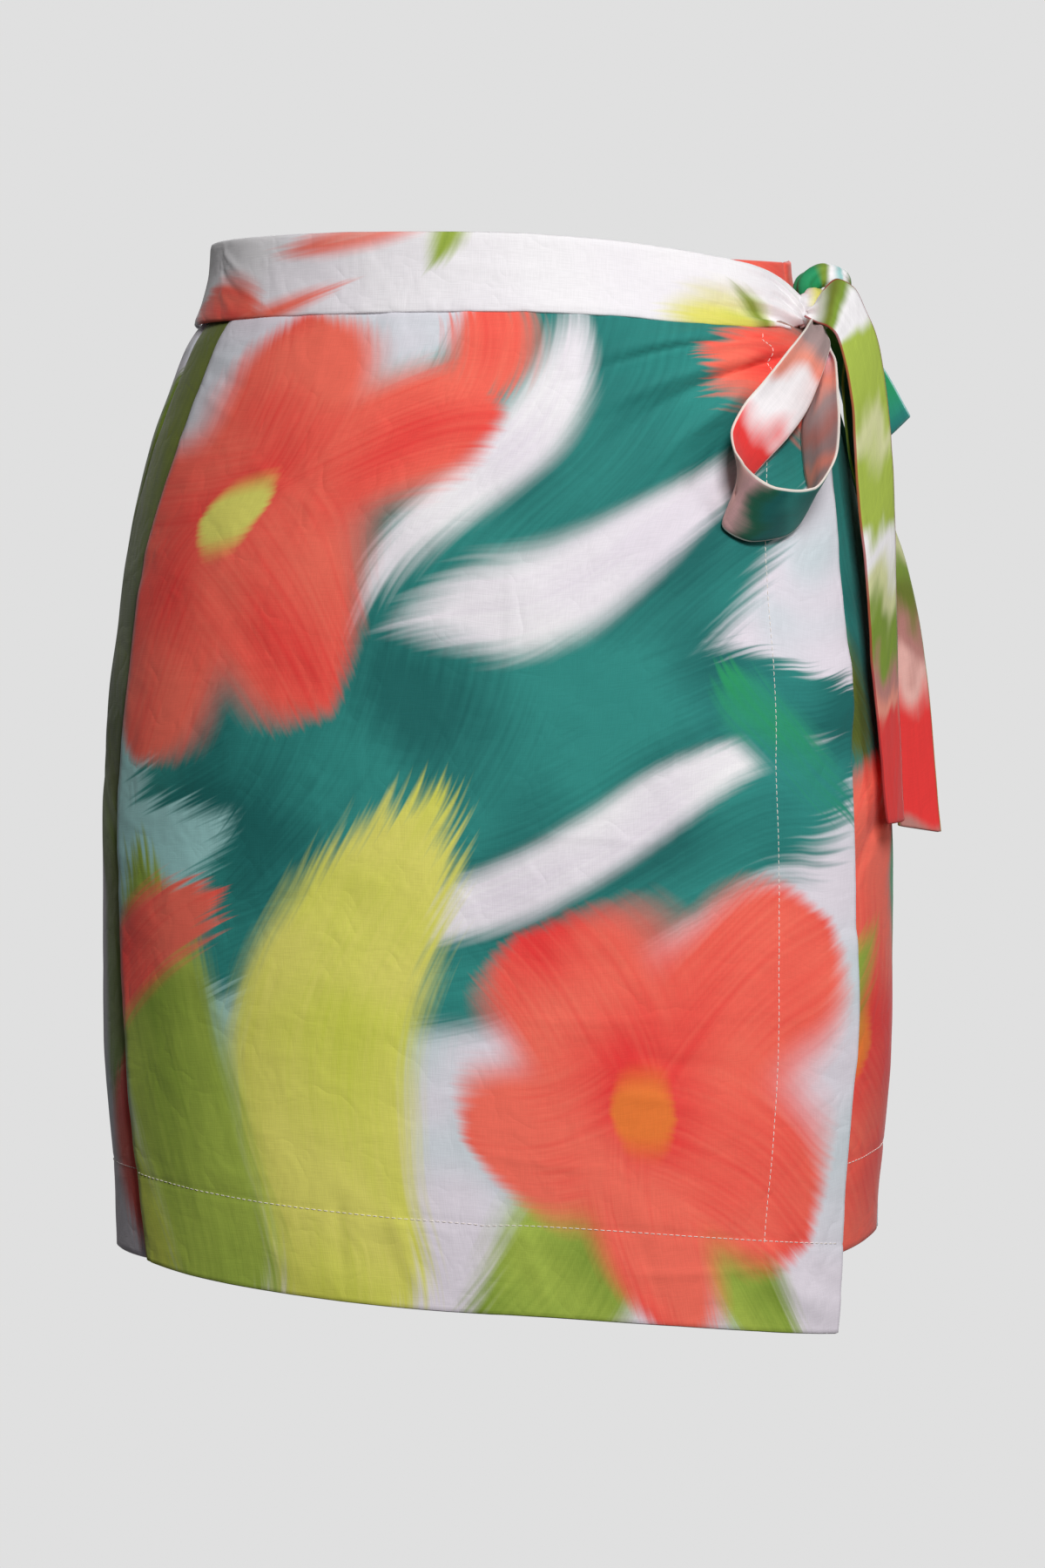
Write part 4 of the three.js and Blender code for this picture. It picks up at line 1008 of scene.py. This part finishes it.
# Gathers: share along, reach, height, pleats. Colours on the face and behind: share along, colour.
TIES = {
    "bow_loop_front": dict(
        edges=front_loop_edges(230), ripple=0.35, seed=131, flat=(0.028, 0.222), edge=CREAM,
        gathers=[(0.0, 0.12, 1.3, 1.5), (1.0, 0.16, 1.2, 2.0)],
        # Painted shade on this face: greyed pink at the loop's root, where it turns back behind the hanging
        # end, and greyed pink with browned salmon up its rising side, which faces from the light.
        face=[(0.0, SHADED_PINK), (0.075, SHADED_PINK), (0.115, SALMON), (0.155, WHITE), (0.2, WHITE), (0.25, RED),
            (0.4, RED), (0.5, CORAL), (0.6, BLUSH), (0.66, SHADED_PINK), (0.7, SALMON), (0.74, SHADED_PINK),
            (0.78, BROWN_PRINT_AND_SHADE), (0.82, SHADED_PINK), (0.87, SALMON), (0.95, MAUVE)],
        behind=[(0.0, WHITE), (0.2, BLUSH), (0.4, BLUSH), (0.47, DUSTY), (0.495, DARK_GREEN),
            (0.52, DEEP_TEAL), (0.56, TEAL), (0.68, TEAL), (0.76, SEA), (0.9, LILAC)]),
    "bow_loop_back": dict(
        edges=back_loop_edges(110), ripple=0.25, seed=137, flat=(0.028, 0.118), edge=SEA,
        gathers=[(0.0, 0.2, 1.0, 1.5), (1.0, 0.2, 0.9, 1.5)],
        face=[(0.0, LIME), (0.25, EMERALD), (0.45, TEAL), (0.6, SEA), (1.0, TEAL)],
        behind=[(0.0, LIME), (0.25, TEAL), (0.42, SEA), (0.6, TEAL), (1.0, EMERALD)]),
    "tie_end_front": dict(
        edges=end_edges(FRONT_END, 220), ripple=0.4, seed=139, flat=(0.028, 0.258), edge=WINE,
        gathers=[(0.0, 0.1, 1.2, 1.5)],
        face=[(0.0, WHITE), (0.17, OLIVE), (0.22, LEAF), (0.28, WHITE), (0.35, WHITE), (0.41, LIME),
            (0.54, LIME), (0.58, PALE_LIME), (0.62, LIME), (0.68, LIME), (0.715, WHITE),
            (0.757, PALE_LIME), (0.79, LEAF), (0.81, LEAF), (0.845, BROWN_PRINT_AND_SHADE), (0.875, SALMON),
            (0.9, RED), (1.0, RED)],
        behind=[(0.0, WHITE), (0.3, LEAF), (0.6, OLIVE), (0.7, WINE), (0.85, RED), (1.0, RED)]),
    "tie_end_back": dict(
        edges=end_edges(BACK_END, 200), ripple=0.4, seed=149, flat=(0.028, 0.242), edge=LIME,
        gathers=[(0.0, 0.12, 1.0, 1.5)],
        # The browned salmon on this end is painted shade, where it hangs behind the end ahead.
        face=[(0.0, EMERALD), (0.3, DARK_GREEN), (0.44, DARK_GREEN), (0.52, LIME), (0.58, PALE_LIME),
            (0.63, LEAF), (0.68, OLIVE), (0.72, BROWN_PRINT_AND_SHADE), (0.755, BLUSH), (0.8, RED), (0.95, RED),
            (1.0, BROWN_PRINT_AND_SHADE)],
        behind=[(0.0, EMERALD), (0.3, DARK_GREEN), (0.6, OLIVE), (0.75, WINE), (1.0, RED)]),
}
across = np.linspace(-1, 1, TIE_ROWS)[:, None]
for tie_name, cut in TIES.items():
    tie_outer, tie_flat = tie_grid(*cut["edges"], cut["ripple"], cut["gathers"], cut["seed"])
    cotton = tie_cotton(tie_name + "_cotton", cut["face"], cut["behind"], cut["edge"])
    piece = cloth_shell(tie_name, tie_outer, TIE_CLOTH * (1 - 0.25 * across ** 6), tie_flat, cotton)

# ---- Knot ------------------------------------
# The wrap's band is tied to the other tie with one tight turn. The gathered cotton shows as a small
# white pad of folds, and the tie that goes over it as a twisted green roll.
KNOT_PLACE = np.array((137.5, -28.0, -31.0))
KNOT_HALF = np.array((8.5, 10.0, 10.0))
PAD_RINGS, PAD_SIDES = 56, 72
ROLL_RINGS, ROLL_SIDES = 90, 48
# middle x, y, height and radius of the roll over the knot
KNOT_ROLL = np.array([
    (132, -20, -25, 4.0), (134, -23, -19, 5.0), (141, -23, -15.5, 5.0), (148, -20, -16.5, 4.6),
    (152, -17, -23, 4.0),
])


def sides(count):
    """Angles of the sides of a ring, evenly round."""
    return np.arange(count) * 2 * math.pi / count


def tube_quads(at):
    """Faces of a tube from the numbers of its points, a row for each ring."""
    after = np.roll(at, -1, axis=1)
    return np.stack([at[:-1], after[:-1], after[1:], at[1:]], axis=-1).reshape(-1, 4)


def closed_skin(name, rings, material, node):
    """A closed skin on rings of points: the first and last ring close to a point. UV map "cloth"
    holds lengths round and along in metres, "share" runs 0 to 1 both ways."""
    count, round_it = rings.shape[:2]
    tips = count * round_it + np.arange(2)
    at = np.arange(count * round_it).reshape(count, round_it)
    after = np.roll(at, -1, axis=1)
    first = np.stack([after[0], at[0], np.full(round_it, tips[0])], axis=1)
    last = np.stack([at[-1], after[-1], np.full(round_it, tips[1])], axis=1)
    lengths = np.cumsum(np.linalg.norm(np.diff(rings, axis=0), axis=2).mean(axis=1))
    lengths = np.concatenate([[0], lengths, [0, lengths[-1]]])
    along = lengths[np.concatenate([np.repeat(np.arange(count), round_it), [count, count + 1]])]
    fold = np.abs(2 * np.concatenate([np.tile(np.arange(round_it), count), [0, 0]]) / round_it - 1)
    girth = np.linalg.norm(np.diff(rings[count // 2], axis=0), axis=1).sum()
    new_piece(name, np.concatenate([rings.reshape(-1, 3), rings[[0, -1]].mean(axis=1)]),
              tube_quads(at).tolist() + first.tolist() + last.tolist(),
              {"cloth": np.stack([fold * girth / 2, -along], axis=1) / 1000.0,
               "share": np.stack([fold, along / along.max()], axis=1)}, material, node)


def knot_pad():
    """An egg of gathered cotton: its rings run from the band's side to the other, and slanting folds
    are pressed into it as a sharpened sine that bends with its height."""
    way, ring = np.meshgrid(np.linspace(0.02, math.pi - 0.02, PAD_RINGS), sides(PAD_SIDES),
                            indexing="ij")
    p = np.stack([-np.cos(way), np.sin(way) * np.cos(ring), np.sin(way) * np.sin(ring)], axis=-1)
    slant = 3.4 * p[..., 2] + 1.5 * p[..., 0] + 0.9 * p[..., 0] * p[..., 2]
    folds = 1 - np.abs(np.sin(slant * 1.35 + 0.5 * soft_noise(p[..., 0] * 9, p[..., 2] * 9, 7, 151)))
    size = 0.93 + 0.1 * np.sqrt(folds) + 0.025 * soft_noise(p[..., 0] * 9, p[..., 2] * 9, 2.2, 152)
    return KNOT_PLACE + p * KNOT_HALF * size[..., None]


def knot_roll():
    """The tie over the knot as a roll along a curve: its radius swells and thins in three ridges that
    wind round it once and a half, and closes at both ends."""
    row = along_rows(KNOT_ROLL, ROLL_RINGS)
    centre, radius = row[:, :3], row[:, 3]
    way = unit(np.gradient(centre, axis=0))
    up = unit(np.cross((0.0, -1.0, 0.0), way))
    out = np.cross(way, up)
    t, angle = np.meshgrid(np.linspace(0, 1, ROLL_RINGS), sides(ROLL_SIDES), indexing="ij")
    ridges = np.cos(3 * angle + 9.5 * t)
    close = np.sqrt(np.clip(1 - ((t - 0.5) / 0.5) ** 10, 0.02, 1))
    size = radius[:, None] * close * (1 + 0.13 * ridges - 0.05 * np.cos(6 * angle + 19 * t))
    size = size + 0.25 * soft_noise(t * 60, angle * 5, 6, 153)
    return (centre[:, None] + up[:, None] * (size * np.cos(angle))[..., None]
            + out[:, None] * (size * np.sin(angle))[..., None])


closed_skin("knot_pad", knot_pad(), tie_cotton("knot_cotton", [
    (0.0, WHITE), (0.3, WHITE), (0.55, YELLOW), (0.7, WHITE), (1.0, LIME)], [(0.0, WHITE), (1.0, WHITE)],
    WHITE), "tie_knot")
closed_skin("knot_roll", knot_roll(), tie_cotton("roll_cotton", [
    (0.0, EMERALD), (0.4, EMERALD), (0.5, LEAF), (0.55, WHITE), (0.66, SEA), (0.72, WHITE), (0.85, OLIVE),
    (1.0, OLIVE)], [(0.0, EMERALD), (1.0, EMERALD)], EMERALD), "tie_knot_strand")

# ---- Stitching -------------------------------
# Pale cotton thread: one row of lockstitch holds the facing and one row each hem. Each stitch shows
# as a short thread that dives into the cloth at both ends.
STITCH_PITCH = 2.7
STITCH_SPAN = 2.1
THREAD = 0.19
THREAD_RINGS, THREAD_SIDES = 5, 6
PLY_SCALE = 2400.0
FACING_TOP, FACING_COLUMN, FACING_PAST, FACING_BENDS = 3, 150, 3, 5


def line_on(grid, at_u, at_v):
    """Points of a grid at fractional row and column numbers, with the normals there."""
    normal = facing_out(grid)
    i = np.clip(np.floor(at_u).astype(int), 0, grid.shape[0] - 2)
    j = np.clip(np.floor(at_v).astype(int), 0, grid.shape[1] - 2)
    su, sv = (at_u - i)[:, None], (at_v - j)[:, None]

    def blend(values):
        near = mix(values[i, j], values[i + 1, j], su)
        return mix(near, mix(values[i, j + 1], values[i + 1, j + 1], su), sv)

    return blend(grid), blend(normal)


def crossing(rows, wanted):
    """Where each falling row of values passes the wanted one."""
    return np.array([np.interp(-wanted, -row, np.arange(len(row))) for row in rows])


def stitch_row(points, normals):
    """Stitches laid along a line: a six-sided thread of five rings, humped in the middle, repeated
    every pitch and turned to the line and to the cloth under it."""
    run = np.concatenate([[0], np.cumsum(np.linalg.norm(np.diff(points, axis=0), axis=1))])
    at = np.arange(1.5, run[-1] - 1.5, STITCH_PITCH)
    take = lambda values, places: np.stack([np.interp(places, run, column) for column in values.T], axis=1)
    start, end = take(points, at - STITCH_SPAN / 2), take(points, at + STITCH_SPAN / 2)
    up = take(normals, at)[:, None]
    way = unit(end - start)[:, None]
    s = np.linspace(-1, 1, THREAD_RINGS)[:, None]
    angle = sides(THREAD_SIDES)
    slim = THREAD * (1 - 0.35 * s ** 4)
    spine = (start + end)[:, None] / 2 + way * s * STITCH_SPAN / 2 + up * (0.16 - 0.3 * s ** 4)
    ring = (np.cross(up, way)[:, None] * (slim * np.cos(angle))[..., None]
            + up[:, None] * (slim * np.sin(angle))[..., None])
    return (spine[:, :, None] + ring).reshape(-1, THREAD_RINGS * THREAD_SIDES, 3)


def stitching(name, rows):
    """All the stitches of one seam or of one piece in one mesh."""
    every = np.concatenate(rows)
    at = np.arange(THREAD_RINGS * THREAD_SIDES).reshape(THREAD_RINGS, THREAD_SIDES)
    first = np.arange(len(every))[:, None, None] * at.size
    faces = (tube_quads(at) + first).reshape(-1, 4).tolist()
    faces += (np.stack([at[0, ::-1], at[-1]]) + first).reshape(-1, THREAD_SIDES).tolist()
    new_piece(name, every.reshape(-1, 3), faces, {}, thread_cotton)


thread_cotton, tree = new_material("thread_cotton")
spot = wire(tree, "ShaderNodeTexCoord").outputs["Object"]
ply = wire(tree, "ShaderNodeTexNoise", {"Vector": spot, "Scale": PLY_SCALE, "Detail": 2.0})
shade = blend_colour(tree, ply, tint(226, 214, 206), tint(250, 242, 234))
twist = wire(tree, "ShaderNodeBump", {"Strength": 0.4, "Distance": 0.0001, "Height": ply})
body = wire(tree, "ShaderNodeBsdfPrincipled", {"Base Color": shade, "Roughness": 0.6, "Sheen Weight": 0.2,
                                               "Normal": twist})
wire(tree, "ShaderNodeOutputMaterial", {"Surface": body})

across = np.arange(1, len(wrap_outer) - 1)
hem_at = crossing(to_hem[across], WRAP_HEM_DEPTH)
# The facing's row runs smoothly from under the band to just past the hem's row
down = np.arange(FACING_TOP, int(hem_at[FACING_COLUMN]) + FACING_PAST)
facing_at = crossing(to_free[:, down].T, WRAP_FACING)
facing_at = np.polyval(np.polyfit(down, facing_at, FACING_BENDS), down)
stitching("stitches_wrap", [
    stitch_row(*line_on(wrap_outer, facing_at, down.astype(float))),
    stitch_row(*line_on(wrap_outer, across.astype(float), hem_at)),
])
hem_rows = []
for panel, panel_flat in shorts_grids.values():
    across = np.arange(1, len(panel) - 1)
    above = panel_flat[..., 1] - panel_flat[:, -1:, 1]
    hem_at = crossing(above[across], SHORTS_HEM_DEPTH)
    hem_rows.append(stitch_row(*line_on(panel, across.astype(float), hem_at)))
stitching("stitches_shorts_hems", hem_rows)
